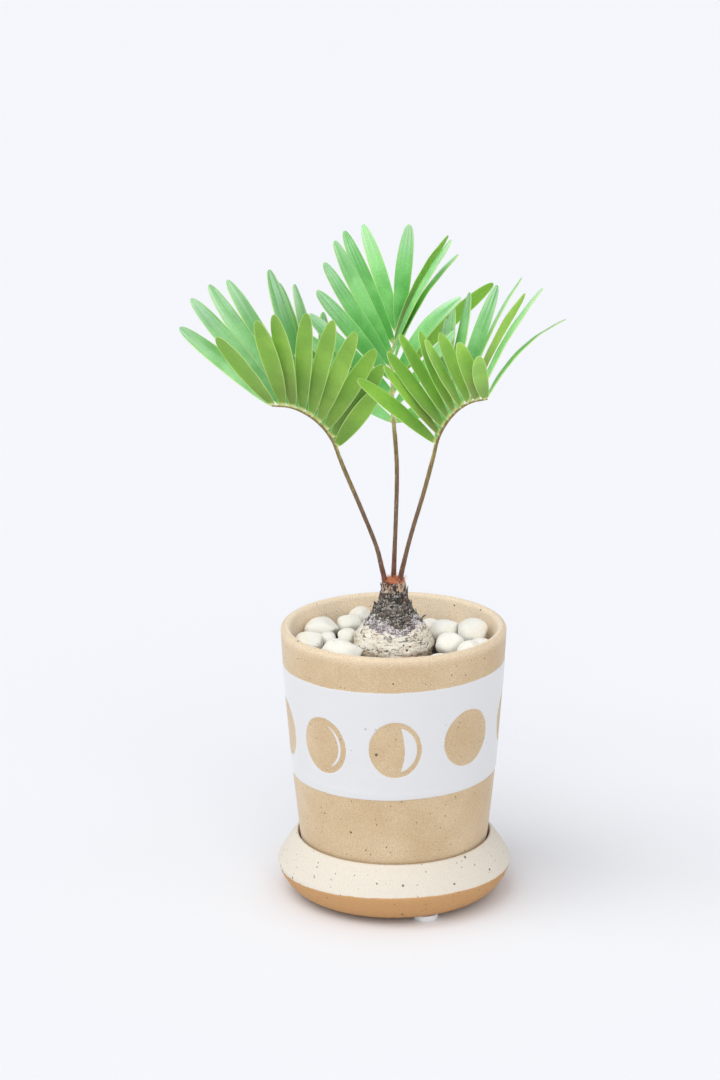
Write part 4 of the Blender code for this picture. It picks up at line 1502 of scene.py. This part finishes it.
@dataclass(frozen=True)
class Row:
    """A row of leaflets on one side of a frond.

    Angles are in degrees at the first leaflet, half way and at the last. Lean is from the stalk, spread
    from the upright plane through it, turn is the blade's about its own length. Added gives, for single
    leaflets, what is added to their lean, spread, turn and length in mm, and arcs how far to the right,
    back and up the middle of a blade bends. Lift is painted light: how much paler the row's upper sides
    are, and below 0 how much darker its blades are, as painted shade.
    """

    side: int
    count: int
    lean: tuple[float, float, float]
    spread: tuple[float, float, float]
    turn: tuple[float, float, float]
    longest_mm: float
    shorter_mm: float
    added: dict[int, tuple[float, float, float, float]]
    arcs: dict[int, tuple[float, float, float]] = field(default_factory=dict)
    lift: float = 0.0

    def along_row(self, values: tuple[float, float, float]) -> Array:
        """For each leaflet, the value on the parabola through the first, the middle and the last value."""
        share = np.linspace(0, 1, self.count)
        first, middle, last = values
        ends = (1 - share) * (1 - 2 * share) * first + share * (2 * share - 1) * last
        return ends + 4 * share * (1 - share) * middle

    def extra(self, column: int) -> Array:
        """For each leaflet, what is added to one of its four numbers."""
        return np.array([self.added.get(number, (0, 0, 0, 0))[column] for number in range(self.count)], float)

    def arc_of(self) -> Array:
        """For each leaflet, how far in mm its middle bends out of the straight line."""
        return np.array([self.arcs.get(number, (0, 0, 0)) for number in range(self.count)], float)


@dataclass
class Blade:
    """Form of one leaflet."""

    thickness_mm: float = 0.55
    edge_mm: float = 0.3
    root_width_mm: float = 1.5
    root_power: float = 0.68
    tip_power: float = 0.46
    fold: float = 0.08
    bow: float = 0.05
    bow_varies: float = 0.012
    ripple_mm: float = 0.35
    stations: int = 34
    half_section: int = 6

    def stations_along(self) -> Array:
        """Shares of the length, closer together near both ends: (1 - cos) / 2."""
        return (1 - np.cos(np.linspace(0.05, np.pi - 0.05, self.stations))) / 2

    def width(self, share: Array, fullest_mm: float) -> Array:
        """Width in mm: a narrow root, and over it s to root_power times (1 - s) to tip_power, at most 1."""
        peak = self.root_power / (self.root_power + self.tip_power)
        swell = (share / peak) ** self.root_power * ((1 - share) / (1 - peak)) ** self.tip_power
        return self.root_width_mm * (1 - 0.8 * share) + (fullest_mm - self.root_width_mm) * swell

    def section(self) -> tuple[Array, Array]:
        """Places across from -1 to 1 over the upper side and back under it, and 1 on the underside."""
        half = np.sin(np.linspace(0, np.pi / 2, self.half_section))
        across = np.concatenate([-half[::-1], half[1:]])
        return np.concatenate([across, across[::-1]]), np.repeat([0.0, 1.0], len(across))


@dataclass
class Frond:
    """A petiole, a rachis and two rows of leaflets.

    The stalk's points give distance out from the pot's axis, height, and drift to the heading's right.
    """

    name: str
    heading: float
    first_pair_mm: float
    width_mm: float
    stalk_mm: tuple[tuple[float, float, float], ...]
    rows: tuple[Row, ...]
    seed: int
    sheath_radius_mm: float = 1.25
    petiole_radius_mm: float = 1.05
    tip_radius_mm: float = 0.5
    knobs: float = 0.07
    cut_mm: float = 3.5
    end_mm: float = 0.6
    seat_mm: float = 0.4
    petiole_rings: int = 90
    rachis_rings: int = 70
    segments: int = 16
    blade: Blade = field(default_factory=Blade)

    def __post_init__(self) -> None:
        """Work out the stalk's line, the length along it and where the petiole is cut from the rachis."""
        heading = math.radians(self.heading)
        self.outward = np.array([math.cos(heading), math.sin(heading), 0.0])
        self.right = np.array([math.sin(heading), -math.cos(heading), 0.0])
        line = smooth_line(self.stalk_mm, 8)
        self.line = line @ np.array([self.outward, [0.0, 0.0, 1.0], self.right])
        self.along = np.concatenate([[0.0], np.cumsum(np.linalg.norm(np.diff(self.line, axis=0), axis=1))])
        self.length = self.along[-1]
        self.cut = self.first_pair_mm - self.cut_mm

    def spot(self, along: Array) -> Array:
        """Points at lengths along the stalk."""
        return np.stack([np.interp(along, self.along, self.line[:, axis]) for axis in range(3)], axis=-1)

    def ahead(self, along: Array) -> Array:
        """The stalk's direction at lengths along it."""
        return unit(self.spot(np.minimum(along + 0.5, self.length)) - self.spot(np.maximum(along - 0.5, 0.0)))

    def radius(self, along: Array) -> Array:
        """Its radius: a thick sheath at the foot, an even petiole, then a taper to the tip."""
        lengths = (0, 7, 20, 0.55 * self.length, self.length)
        radii = (1.1 * self.sheath_radius_mm, self.sheath_radius_mm, self.petiole_radius_mm)
        return np.interp(along, lengths, (*radii, self.petiole_radius_mm, self.tip_radius_mm))

    def stalk(self, start: float, end: float, rings: int) -> Shape:
        """The stalk between two lengths: a round tube, a little knobbly.

        Args:
            start: Where it begins.
            end: Where it ends.
            rings: How many rings it has.

        Returns:
            The shape, which carries along and above.
        """
        along = np.linspace(start, end, rings)
        round_tube = tube(self.spot(along), self.radius(along), self.right, self.segments)
        centres = self.spot(along)[None, :, None]
        spokes = round_tube - centres
        knobs = 1 + self.knobs * fractal_noise(round_tube, 1.8, 3, self.seed)
        share = np.broadcast_to((along / self.length)[None, :, None, None], (1, rings, self.segments, 1))
        above = np.cross(self.right, self.ahead(along))[None, :, None]
        facing = eased(np.sum(unit(spokes) * above, axis=-1, keepdims=True), -0.2, 0.8)
        values = {"along": share, "above": facing}
        return woven((centres + spokes * knobs[..., None]) * MM, Ends.POLES, values)

    def petiole(self) -> Shape:
        """The bare stalk, up to the cut under the first leaflets."""
        return self.stalk(0.0, self.cut, self.petiole_rings)

    def feather(self) -> list[Shape]:
        """The rachis from that cut on, and both rows of leaflets."""
        return [self.stalk(self.cut, self.length, self.rachis_rings), *map(self.leaflets, self.rows)]

    def frames(self, row: Row) -> tuple[Array, Array, Array, Array, Array]:
        """How each blade of a row stands.

        A blade's line leaves the rachis at its lean from the stalk and its spread from the upright plane.
        The blade turns about that line, from where it lies flat along the stalk.

        Args:
            row: The row.

        Returns:
            For each blade its root, its direction, the ways across and up from it, and its length in mm.
        """
        share = np.linspace(0, 1, row.count)
        along = self.first_pair_mm + (self.length - self.end_mm - self.first_pair_mm) * share
        lean, spread, turn = (
            np.radians(row.along_row(angles) + row.extra(column))[:, None]
            for column, angles in enumerate((row.lean, row.spread, row.turn))
        )
        length = row.longest_mm - row.shorter_mm * (2 * share - 1) ** 2 + row.extra(3)
        ahead = self.ahead(along)
        above = unit(np.cross(self.right, ahead))
        outward = np.cos(spread) * above + np.sin(spread) * self.right * row.side
        direction = np.cos(lean) * ahead + np.sin(lean) * outward
        flat = unit(ahead - direction * np.sum(ahead * direction, axis=1, keepdims=True))
        across = (flat * np.cos(turn) + np.cross(direction, flat) * np.sin(turn)) * row.side
        root = self.spot(along) + outward * self.seat_mm
        return root, direction, across, unit(np.cross(across, direction)), length

    def leaflets(self, row: Row) -> Shape:
        """All blades of one row at once.

        A blade bows by bow x length x s (s - 1). Its section is folded up by fold x width x |u|^1.5, thins
        from the middle to the edge, and ripples.

        Args:
            row: The row.

        Returns:
            The shape, which carries blade, tone and lift.
        """

        def each(values: Array) -> Array:
            """One value or vector for each leaflet, ready to go with stations and section points."""
            return values.reshape(row.count, 1, 1, -1)

        form = self.blade
        root, direction, across, upward, length = (each(part) for part in self.frames(row))
        draw = np.random.default_rng(self.seed + row.side)
        bow = each(form.bow + draw.uniform(-form.bow_varies, form.bow_varies, row.count))
        sway = each(draw.uniform(-form.bow_varies, form.bow_varies, row.count))
        tone = each(draw.uniform(-1, 1, row.count))
        s = form.stations_along()[None, :, None, None]
        u, under = (part[None, None, :, None] for part in form.section())
        half = form.width(s, self.width_mm) / 2
        rise = form.fold * 2 * half * np.abs(u) ** 1.5
        thickness = form.edge_mm + (form.thickness_mm - form.edge_mm) * (1 - u * u)
        centre = root + direction * length * s
        centre = centre + (upward * bow * length - 4 * each(row.arc_of())) * s * (s - 1)
        centre = centre + across * sway * length * np.sin(np.pi * s)
        skin = centre + across * u * half + upward * (rise + (under - 0.5) * thickness)
        ripple = form.ripple_mm * smooth_noise(skin, 9.0, self.seed)[..., None] * eased(s, 0.1, 0.4)
        skin = skin + upward * ripple
        level = np.zeros(skin.shape[:3] + (1,))
        blade = np.concatenate([u + level, s + level, under + level], axis=-1)
        # lift carries the row's painted light and shade
        values = {"blade": blade, "tone": tone + level, "lift": row.lift + level}
        return woven(skin * MM, Ends.POLES, values, slot=1)


@dataclass(frozen=True)
class FlakeBand:
    """Rings of flakes round the stem: heights, room for each, then the least and the greatest of its sizes.

    Lengths are in mm and the opening, the angle by which a flake leaves the bark, in degrees.
    """

    low: float
    high: float
    step: float
    apart: float
    length: tuple[float, float]
    half_width: tuple[float, float]
    opening: tuple[float, float]


@dataclass
class Caudex:
    """Swollen stem: a papery bulb, a neck covered with leaf bases, and a woolly crown."""

    crown_mm: float = 159.4
    tip_mm: float = 85.0
    side_mm: tuple[tuple[float, float], ...] = (
        (4.5, 88.0), (11.0, 97.0), (16.6, 109.0), (19.4, 121.0), (19.7, 128.6), (17.6, 133.8),
        (13.9, 138.5), (10.6, 143.0), (7.8, 148.0), (6.0, 153.5), (5.9, 157.4),
    )
    bands: tuple[FlakeBand, ...] = (
        # broad pale ones on the shoulder, dark leaf bases above, a fringe at the crown
        FlakeBand(136.6, 142.5, 1.9, 3.3, (4.2, 6.6), (1.4, 2.4), (1, 7)),
        FlakeBand(143.0, 153.6, 1.7, 2.7, (3.6, 6.6), (0.9, 2.2), (0, 12)),
        FlakeBand(153.0, 157.9, 1.1, 1.6, (1.8, 4.2), (0.3, 0.7), (-8, 4)),
    )
    hook_table: tuple[tuple[float, ...], ...] = (
        # heading in degrees, height, length, half width, opening in degrees
        (178, 148.4, 5.8, 1.0, 12),
        (183, 142.2, 5.6, 1.1, 14),
        (190, 138.6, 5.0, 1.2, 16),
        (2, 149.4, 6.8, 0.9, 15),
        (-5, 143.8, 6.2, 1.0, 13),
        (4, 139.8, 5.4, 1.1, 12),
        (-7, 137.8, 6.4, 0.9, 40),
        (-8, 122.5, 6.0, 1.2, 9),
        (-22, 156.2, 7.0, 0.8, 3),
        (112, 157.0, 7.2, 0.9, -6),
        (150, 143.5, 5.6, 1.1, 20),
        (95, 147.0, 6.4, 1.1, 16),
        (60, 142.0, 6.0, 1.2, 20),
        (-60, 146.0, 4.6, 1.1, 9),
        (-120, 150.0, 4.8, 1.0, 7),
    )
    skins: tuple[tuple[float, float, float], ...] = (
        # for pale flakes, dark scales and the fringe: from which height to which each begins, and how much
        # lower in front
        (135.4, 139.4, 0.8),
        (139.8, 145.2, 4.0),
        (154.2, 156.0, 0.0),
    )
    front: tuple[float, float] = (-1.15, 0.62)  # heading and half width, in radians
    earthy_mm: tuple[float, float] = (129.5, 123.0)
    shown_from_mm: tuple[float, float] = (114.0, 119.0)
    knot_mm: tuple[float, float, float] = (-2.6, -17.4, 134.2)
    flake_mm: float = 0.36
    hook_mm: float = 0.65
    hook_skin: float = 1.9
    hairs: int = 420
    hair_mm: float = 0.11
    wool_radius_mm: float = 5.6
    segments: int = 260
    seed: int = 11

    def side(self) -> Array:
        """The side line as (radius, height), smooth through its points, with both ends rounded in.

        Returns:
            The line's points.
        """
        line = smooth_line(self.side_mm, 14)
        tip, top = self.tip_mm, self.crown_mm
        foot = np.array([[0.6, tip], [3.0, tip + 1.2]])
        crown = np.array([[5.7, top - 0.9], [4.8, top - 0.2], [3.0, top], [0.6, top]])
        return np.vstack([foot, line, crown])

    def radius(self, height: Array) -> Array:
        """The stem's radius at a height."""
        line = self.side()
        return np.interp(height, line[:, 1], line[:, 0])

    def zone(self, place: Array) -> Array:
        """What the skin is, from its height and whether it is in front.

        Args:
            place: Points in mm.

        Returns:
            -1 earthy, 0 paper, 1 pale flakes, 2 dark scales, 3 the fringe, or between them.
        """
        heading, height = np.arctan2(place[..., 1], place[..., 0]), place[..., 2]
        middle, width = self.front
        front = np.exp(-(((heading - middle) / width) ** 2))
        begun = [eased(height + lower * front, low, high) for low, high, lower in self.skins]
        return sum(begun) - eased(height, *self.earthy_mm)

    def knot(self, rings: Array) -> tuple[Array, Array]:
        """A small round knot on the front of the bulb.

        Args:
            rings: Points in mm.

        Returns:
            How deep it is cracked, and how far it stands out.
        """
        away = np.linalg.norm(rings - np.array(self.knot_mm), axis=-1)
        away = away + 1.8 * fractal_noise(rings, 1.8, 3, self.seed + 8)
        broken = eased(smooth_noise(rings, 1.6, self.seed + 9), -0.5, 0.2)
        ring = eased(1 - np.abs(away - 1.9) / 0.8, 0.0, 1.0) * broken
        return np.maximum(0.9 * ring, 0.6 * eased(away, 2.2, 1.0)), 0.5 * eased(away, 2.6, 1.2)

    def body(self) -> Shape:
        """The stem: its side line turned round, with thin torn layers on the bulb and ribs above it.

        Layers step out with a noise stretched sideways. A sharp ridge of another, 1 - |noise|, is a crack.

        Returns:
            The shape, which carries bark and hue.
        """
        rings = turned(self.side(), self.segments)
        height = rings[..., 2]
        top = self.crown_mm
        shown = eased(height, *self.shown_from_mm) * (1 - eased(height, top - 1.5, top - 0.5))
        patches = 2.2 * fractal_noise(rings, 5.0, 2, self.seed + 5)
        zone = self.zone(rings + patches[..., None] * np.array([0.0, 0.0, 1.0]))
        scaly = eased(zone, 0.5, 1.5)
        flat = rings * np.array([0.3, 0.3, 1.0])
        layer = 1 - np.abs(fractal_noise(flat, 1.9, 3, self.seed)) * 2.2
        steps = 0.6 * smooth_noise(flat, 2.6, self.seed + 1)
        steps = steps + 0.35 * fractal_noise(rings, 1.6, 2, self.seed + 3)
        knot_cracks, knot = self.knot(rings)
        cracks = np.maximum(eased(layer, 0.84, 1.0) * (1 - 0.5 * scaly), knot_cracks)
        ribs = 0.5 * fractal_noise(rings * np.array([1.0, 1.0, 0.3]), 2.2, 3, self.seed + 2)
        lift = shown * ((1 - scaly) * (steps - 0.45 * cracks) + scaly * ribs + knot)
        outward = unit(np.concatenate([rings[..., :2], 0 * rings[..., :1]], axis=-1) + 1e-9)
        rings = rings + lift[..., None] * outward
        bark = np.stack([cracks, zone, 0 * zone], axis=-1)
        hue = smooth_noise(rings, 3.0, self.seed + 6)[..., None]
        return woven(rings * MM, Ends.POLES, {"bark": bark, "hue": hue})

    def scales(self) -> list[Shape]:
        """The bands of flakes, one shape each, with their sizes and turns drawn at random.

        Returns:
            The shapes.
        """
        draw = np.random.default_rng(self.seed)
        shapes = []
        for band in self.bands:
            levels = np.arange(band.low, band.high, band.step)
            counts = (2 * np.pi * self.radius(levels) / band.apart).astype(int)
            height = np.repeat(levels, counts) + draw.uniform(-0.9, 0.9, counts.sum())
            heading = np.concatenate([(np.arange(n) + draw.uniform()) / n * 2 * np.pi for n in counts])
            heading = heading + draw.uniform(-0.2, 0.2, len(heading))
            spans = (band.length, band.half_width, band.opening)
            length, wide, opening = (draw.uniform(*span, len(heading)) for span in spans)
            shapes.append(self.flakes(heading, height, length, wide, np.radians(opening), self.flake_mm))
        return shapes

    def hooks(self) -> Shape:
        """The few long flakes that stand off the stem's outline."""
        heading, height, length, wide, opening = np.array(self.hook_table).T
        heading, opening = np.radians(heading), np.radians(opening)
        return self.flakes(heading, height, length, wide, opening, self.hook_mm, self.hook_skin)

    def flakes(
        self,
        heading: Array,
        height: Array,
        length: Array,
        wide: Array,
        opening: Array,
        thick_mm: float,
        skin: float | None = None,
    ) -> Shape:
        """Flat flakes that start on the bark, with torn ends.

        At a share s of the length the width is (0.7 + 0.9 s (1 - s)) times the root of 1 - s^4. A flake
        opens more towards its end and bends round the stem. Sines of its place, times large numbers,
        stand for chance in its hue and its slant.

        Args:
            heading: Where each stands round the axis, in radians.
            height: Height of its foot.
            length: Its length.
            wide: Half its greatest width.
            opening: Angle by which it leaves the bark.
            thick_mm: Half its thickness at the foot.
            skin: What its skin is, as in zone(), where that isn't left to its height.

        Returns:
            All flakes as one shape.
        """
        share = np.linspace(0, 1, 9)[None, :, None]
        angle = all_round(10)[None, None, :]
        hue = np.sin(heading * 37.0 + height * 11.0)[:, None, None]
        sizes = (heading, height, length, wide, opening)
        heading, height, length, wide, opening = (size[:, None, None] for size in sizes)
        foot_radius = self.radius(height)
        slope = np.arctan2(self.radius(height + 3) - self.radius(height - 1), 4.0)
        lean = slope + opening * (0.4 + 1.2 * share)
        up = height - 0.6 + length * share * np.cos(lean)
        out = foot_radius - 0.3 + length * share * np.sin(lean)
        width = wide * (0.7 + 0.9 * share * (1 - share)) * (1 - share**4) ** 0.5 + 0.06
        thick = thick_mm * (1 - 0.7 * share)
        slant = 0.45 * np.sin(heading * 91.0 + height * 23.0) * length * share
        sideways = width * np.cos(angle) + slant
        out = out + thick * np.sin(angle) * np.cos(lean) - sideways**2 / (2 * foot_radius)
        up = up - thick * np.sin(angle) * np.sin(lean)
        x = out * np.cos(heading) - sideways * np.sin(heading)
        y = out * np.sin(heading) + sideways * np.cos(heading)
        rings = np.stack(np.broadcast_arrays(x, y, up), axis=-1)
        torn = smooth_noise(rings * np.array([1.0, 1.0, 0.2]), 0.8, self.seed)
        rings[..., 2] += 1.1 * torn * share**2
        rings = rings + 0.12 * smooth_noise(rings, 1.1, self.seed)[..., None]
        full = np.zeros(up.shape)
        uneven = rings + 1.3 * hue[..., None] * np.array([0.0, 0.0, 1.0])
        zone = self.zone(uneven) if skin is None else skin + full
        edge = np.maximum(share**2, 0.8 * np.abs(np.cos(angle)) ** 3) + full
        # First number: painted shade, darkest at a flake's foot where it leaves the bark; third: its edge
        bark = np.stack([0.5 * (1 - share) ** 2 + full, zone, edge], axis=-1)
        return woven(rings * MM, Ends.POLES, {"bark": bark, "hue": (hue + full)[..., None]})

    def wool(self) -> Shape:
        """Short hairs in the crown: thin three-sided tubes that rise and bend outwards as s^2.

        Returns:
            The hairs as one shape, which carries along.
        """
        draw = np.random.default_rng(self.seed + 4)
        count = self.hairs
        distance = self.wool_radius_mm * np.sqrt(draw.uniform(0, 1, count))
        heading = draw.uniform(0, 2 * np.pi, count)
        foot = placed(distance, heading, self.crown_mm - 0.6)
        bend = draw.normal(0, 1.3, (count, 3)) * np.array([1, 1, 0.2])
        length = draw.uniform(1.4, 3.4, count)
        share = np.linspace(0, 1, 5)[None, :, None, None]
        rise = np.array([0, 0, 1.0]) * (length * (1.15 - distance / 12))[:, None, None, None] * share
        line = foot[:, None, None] + rise + bend[:, None, None] * share**2
        rings = line + placed(1.0, all_round(3), 0.0) * (self.hair_mm * (1 - 0.7 * share))
        along = np.broadcast_to(share, rings.shape[:3] + (1,))
        return woven(rings * MM, Ends.POLES, {"along": along}, slot=1)


# Each row's lift is painted light and shade
FRONDS = (
    Frond(
        name="left",
        heading=198.5,
        first_pair_mm=76.0,
        width_mm=9.4,
        stalk_mm=(
            (4.0, 157.8, 0), (5.6, 164.5, 0), (8.9, 177.7, 0), (17.0, 198.4, 0), (24.1, 215.4, 0),
            (27.4, 224.0, 0), (30.4, 231.8, 0), (35.8, 239.6, 0), (43.0, 245.9, 0), (51.4, 250.2, 0),
            (60.7, 251.8, 0),
        ),
        rows=(
            Row(
                side=-1, count=9, lean=(60, 60, 50), spread=(60, 45, 37), turn=(-12, -18, -15),
                longest_mm=70, shorter_mm=9, lift=-0.9,
                added={
                    0: (-6, -9, 30, -15), 1: (-1, -13, 16, -11), 2: (1, -8, 0, -8), 7: (9, -1, 0, 0),
                    8: (-2, 1, 0, 0),
                },
            ),
            Row(
                side=1, count=9, lean=(60, 53, 53), spread=(55, 47, 51), turn=(-20, -22, -22),
                longest_mm=77, shorter_mm=13, lift=-0.35,
                added={
                    2: (-10, -4, 16, 0), 3: (1, 3, 0, 0), 4: (3, -4, 0, 0), 5: (-1, 4, 0, 0),
                    7: (3, -4, 0, 0), 8: (2, 10, 0, 0),
                },
            ),
        ),
        seed=21,
    ),
    Frond(
        name="right",
        heading=-26.5,
        first_pair_mm=76.0,
        width_mm=8.0,
        stalk_mm=(
            (3.6, 157.8, 0), (4.6, 164.5, 0), (9.6, 183.6, 0), (15.9, 204.0, 0), (21.2, 223.0, 0),
            (23.6, 232.4, 0), (27.7, 240.5, 0), (33.5, 247.5, 0), (40.8, 252.6, 0), (49.4, 255.2, 0),
        ),
        rows=(
            Row(
                side=1, count=9, lean=(59, 56, 72), spread=(53, 57, 58), turn=(30, 34, 30),
                longest_mm=68, shorter_mm=9, lift=0.0,
                added={
                    0: (1, 8, -8, 7), 1: (0, 12, 9, 4), 2: (3, 4, -2, 1), 3: (2, 0, 9, 3),
                    4: (1, -1, 9, 0), 5: (5, 3, 27, 3), 6: (5, -6, 14, -3), 7: (3, -2, -4, 3),
                    8: (-7, 3, -10, 0),
                },
            ),
            Row(
                side=-1, count=9, lean=(47, 59, 61), spread=(51, 49, 60), turn=(25, 15, -25),
                longest_mm=71, shorter_mm=11, lift=0.5,
                added={
                    0: (-3, 2, 0, 0), 1: (0, -2, 0, -4), 2: (-1, -5, -16, -5), 3: (4, 1, -9, 0),
                    4: (-1, 3, 45, 0), 5: (-9, -3, -30, 0), 6: (5, 1, -65, -2), 7: (4, -11, -15, 0),
                    8: (4, 5, 3, 2),
                },
                arcs={5: (-1.9, 0, 0.7), 6: (-1.4, 0, 0.6), 7: (-2.1, 0, 1.3), 8: (-3.2, 0, 3.3)},
            ),
        ),
        seed=33,
    ),
    Frond(
        name="middle",
        heading=90.0,
        first_pair_mm=79.0,
        width_mm=9.0,
        stalk_mm=(
            (3.4, 157.8, 0.2), (3.6, 164.5, 0.3), (4.5, 188.3, 1.3), (6.5, 209.0, 1.9), (8.6, 221.0, 1.6),
            (12.0, 235.7, 0.4), (15.0, 242.0, -0.2), (19.0, 249.5, -0.1), (25.0, 258.0, -0.2),
            (33.0, 266.0, 0.0), (43.0, 273.5, 3.0),
        ),
        rows=(
            Row(
                side=-1, count=8, lean=(59, 71, 51), spread=(59, 30, 35), turn=(-20, -30, -38),
                longest_mm=70, shorter_mm=10, lift=1.4,
                added={1: (-1, 0, 24, 0), 6: (-3, 7, 0, 0), 7: (-11, 10, 0, 2)},
            ),
            Row(
                side=1, count=8, lean=(62, 55, 52), spread=(50, 50, -8), turn=(20, 12, 40),
                longest_mm=66, shorter_mm=10, lift=2.1,
                added={
                    0: (8, 22, 0, -8), 1: (-1, -16, -18, -6), 2: (1, -22, 0, 0), 3: (-8, 25, -137, 3),
                    4: (-6, -2, -35, -2), 5: (11, -6, -21, 2), 6: (18, 6, -60, 1), 7: (21, 9, 46, 5),
                },
                arcs={
                    2: (-3.9, 0, 2.8), 3: (-0.7, 0, 1.4), 4: (-3.5, 0, 2.0), 5: (-2.6, 0, 1.3),
                    6: (-2.6, 0, 1.3),
                },
            ),
        ),
        seed=45,
    ),
)


# The studio


@dataclass(frozen=True)
class SoftSun:
    """A soft distant light: its turn in degrees, its strength, its width in degrees and its colour."""

    name: str
    turn: tuple[float, float, float]
    strength: float
    width: float
    colour: tuple[float, float, float] = (1.0, 0.985, 0.96)


@dataclass
class Studio:
    """Pale floor, soft light and the camera at the photograph's view."""

    camera_mm: tuple[float, float, float] = (-16.2, -1415.0, 590.8)
    looking: tuple[float, float, float] = (0.0, 0.9603, -0.279)
    roll_degrees: float = -0.3
    lens: float = 101.0
    floor_radius: float = 60.0
    floor_sides: int = 96
    sky: Colour = seen(245, 247, 253)
    sky_strength: float = 0.62
    suns: tuple[SoftSun, ...] = (
        # from the left, the front and the side, and a weak warm one from the right
        SoftSun("main", (28, 0, -48), 1.0, 44),
        SoftSun("front", (52, 0, 6), 0.6, 50),
        SoftSun("side", (68, 0, -84), 0.36, 44),
        SoftSun("fill", (64, 0, 62), 0.2, 60, (1.0, 0.88, 0.74)),
    )

    def camera(self, axis: Array) -> None:
        """The camera, whose place is measured from the pot's axis.

        Args:
            axis: Where the pot's axis stands.
        """
        data = bpy.data.cameras.new("camera")
        data.lens, data.sensor_width, data.clip_end = self.lens, 36.0, 100.0
        camera = bpy.data.objects.new("camera", data)
        bpy.context.scene.collection.objects.link(camera)
        turn = Vector(self.looking).to_track_quat("-Z", "Y").to_matrix().to_4x4()
        roll = Matrix.Rotation(math.radians(self.roll_degrees), 4, "Z")
        spot = Vector(axis) + Vector(self.camera_mm) * MM
        camera.matrix_world = Matrix.Translation(spot) @ turn @ roll
        bpy.context.scene.camera = camera

    def floor(self) -> bpy.types.Object:
        """A round flat floor at the height that the part stands on.

        Returns:
            The floor.
        """
        rim = placed(self.floor_radius, all_round(self.floor_sides), 0.0)
        mesh = bpy.data.meshes.new("floor")
        mesh.from_pydata(rim.tolist(), [], [list(range(self.floor_sides))])
        mesh.materials.append(PaleFloor().material())
        floor = bpy.data.objects.new("floor", mesh)
        bpy.context.scene.collection.objects.link(floor)
        return floor

    def light(self) -> None:
        """A pale sky all round and the soft suns, with colours shown as they are."""
        world = bpy.data.worlds.new("studio")
        world.use_nodes = True
        sky = world.node_tree.nodes["Background"]
        sky.inputs["Color"].default_value = self.sky
        sky.inputs["Strength"].default_value = self.sky_strength
        bpy.context.scene.world = world
        for sun in self.suns:
            data = bpy.data.lights.new(sun.name, "SUN")
            data.energy, data.angle, data.color = sun.strength, math.radians(sun.width), sun.colour
            lamp = bpy.data.objects.new(sun.name, data)
            lamp.rotation_euler = [math.radians(angle) for angle in sun.turn]
            bpy.context.scene.collection.objects.link(lamp)
        bpy.context.scene.view_settings.view_transform = "Standard"


# Assembly


def settle(piece: bpy.types.Object, slot: str, *nodes: str) -> None:
    """Let a piece ride with the part and stand for its solids.

    Args:
        piece: The piece.
        slot: Name of the finish; not used.
        nodes: The solids that it stands for.
    """
    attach(piece, "root")
    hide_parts(*nodes)
    log.info("%s stands for %s", piece.name, ", ".join(nodes))


def axis_of(pot: Pot) -> Array:
    """Where the pot's axis meets height 0: the middle of the solid pot's box, its foot at foot_mm."""
    low, high = (np.array(corner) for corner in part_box("pot"))
    return np.array([(low[0] + high[0]) / 2, (low[1] + high[1]) / 2, low[2] - pot.foot_mm * MM])


def main() -> None:
    """Build the studio and every piece."""
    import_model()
    effects = Effects()
    pot, stem = Pot(), Caudex()
    axis = axis_of(pot)
    studio = Studio()
    studio.camera(axis)
    studio.light()
    studio.floor()

    settle(piece_of("glazed_pot", [pot.shape()], [Stoneware().material(effects)], axis), "stoneware", "pot")
    dish = piece_of("round_saucer", [Saucer().shape(pot)], [SaucerClay().material(effects)], axis)
    settle(dish, "saucer_stoneware", "saucer")
    pad, rubber = Pad(), Rubber().material(effects)
    for number in range(pad.count):
        bumper = piece_of(f"bumper_{number + 1}", [pad.shape(number)], [rubber], axis)
        settle(bumper, "pad", f"foot_pad_{number + 1}")
    settle(piece_of("crumbly_soil", Soil().shapes(pot), [Earth().material(effects)], axis), "soil", "soil")
    stones, chalk = Stones(), WhiteStone().material(effects)
    for number in range(len(stones.table)):
        name = f"{number + 1:02d}"
        stone = piece_of(f"white_stone_{name}", [stones.shape(number, pot)], [chalk], axis)
        settle(stone, "pebble", f"pebble_{name}")
    bulb = piece_of(
        "scaly_stem",
        [stem.body(), *stem.scales(), stem.hooks(), stem.wool()],
        [Bark().material(effects), Fuzz().material()],
        axis,
    )
    settle(bulb, "bark", "caudex")
    rind, leaf = Rind().material(effects), Leaf().material(effects)
    for frond in FRONDS:
        stalk = piece_of(f"leaf_stalk_{frond.name}", [frond.petiole()], [rind], axis)
        settle(stalk, "petiole", f"petiole_{frond.name}")
        feather = piece_of(f"feathered_{frond.name}", frond.feather(), [rind, leaf], axis)
        settle(feather, "leaf", f"frond_{frond.name}")


if __name__ == "__main__":
    logging.basicConfig(level=logging.INFO, format="%(message)s")
    main()
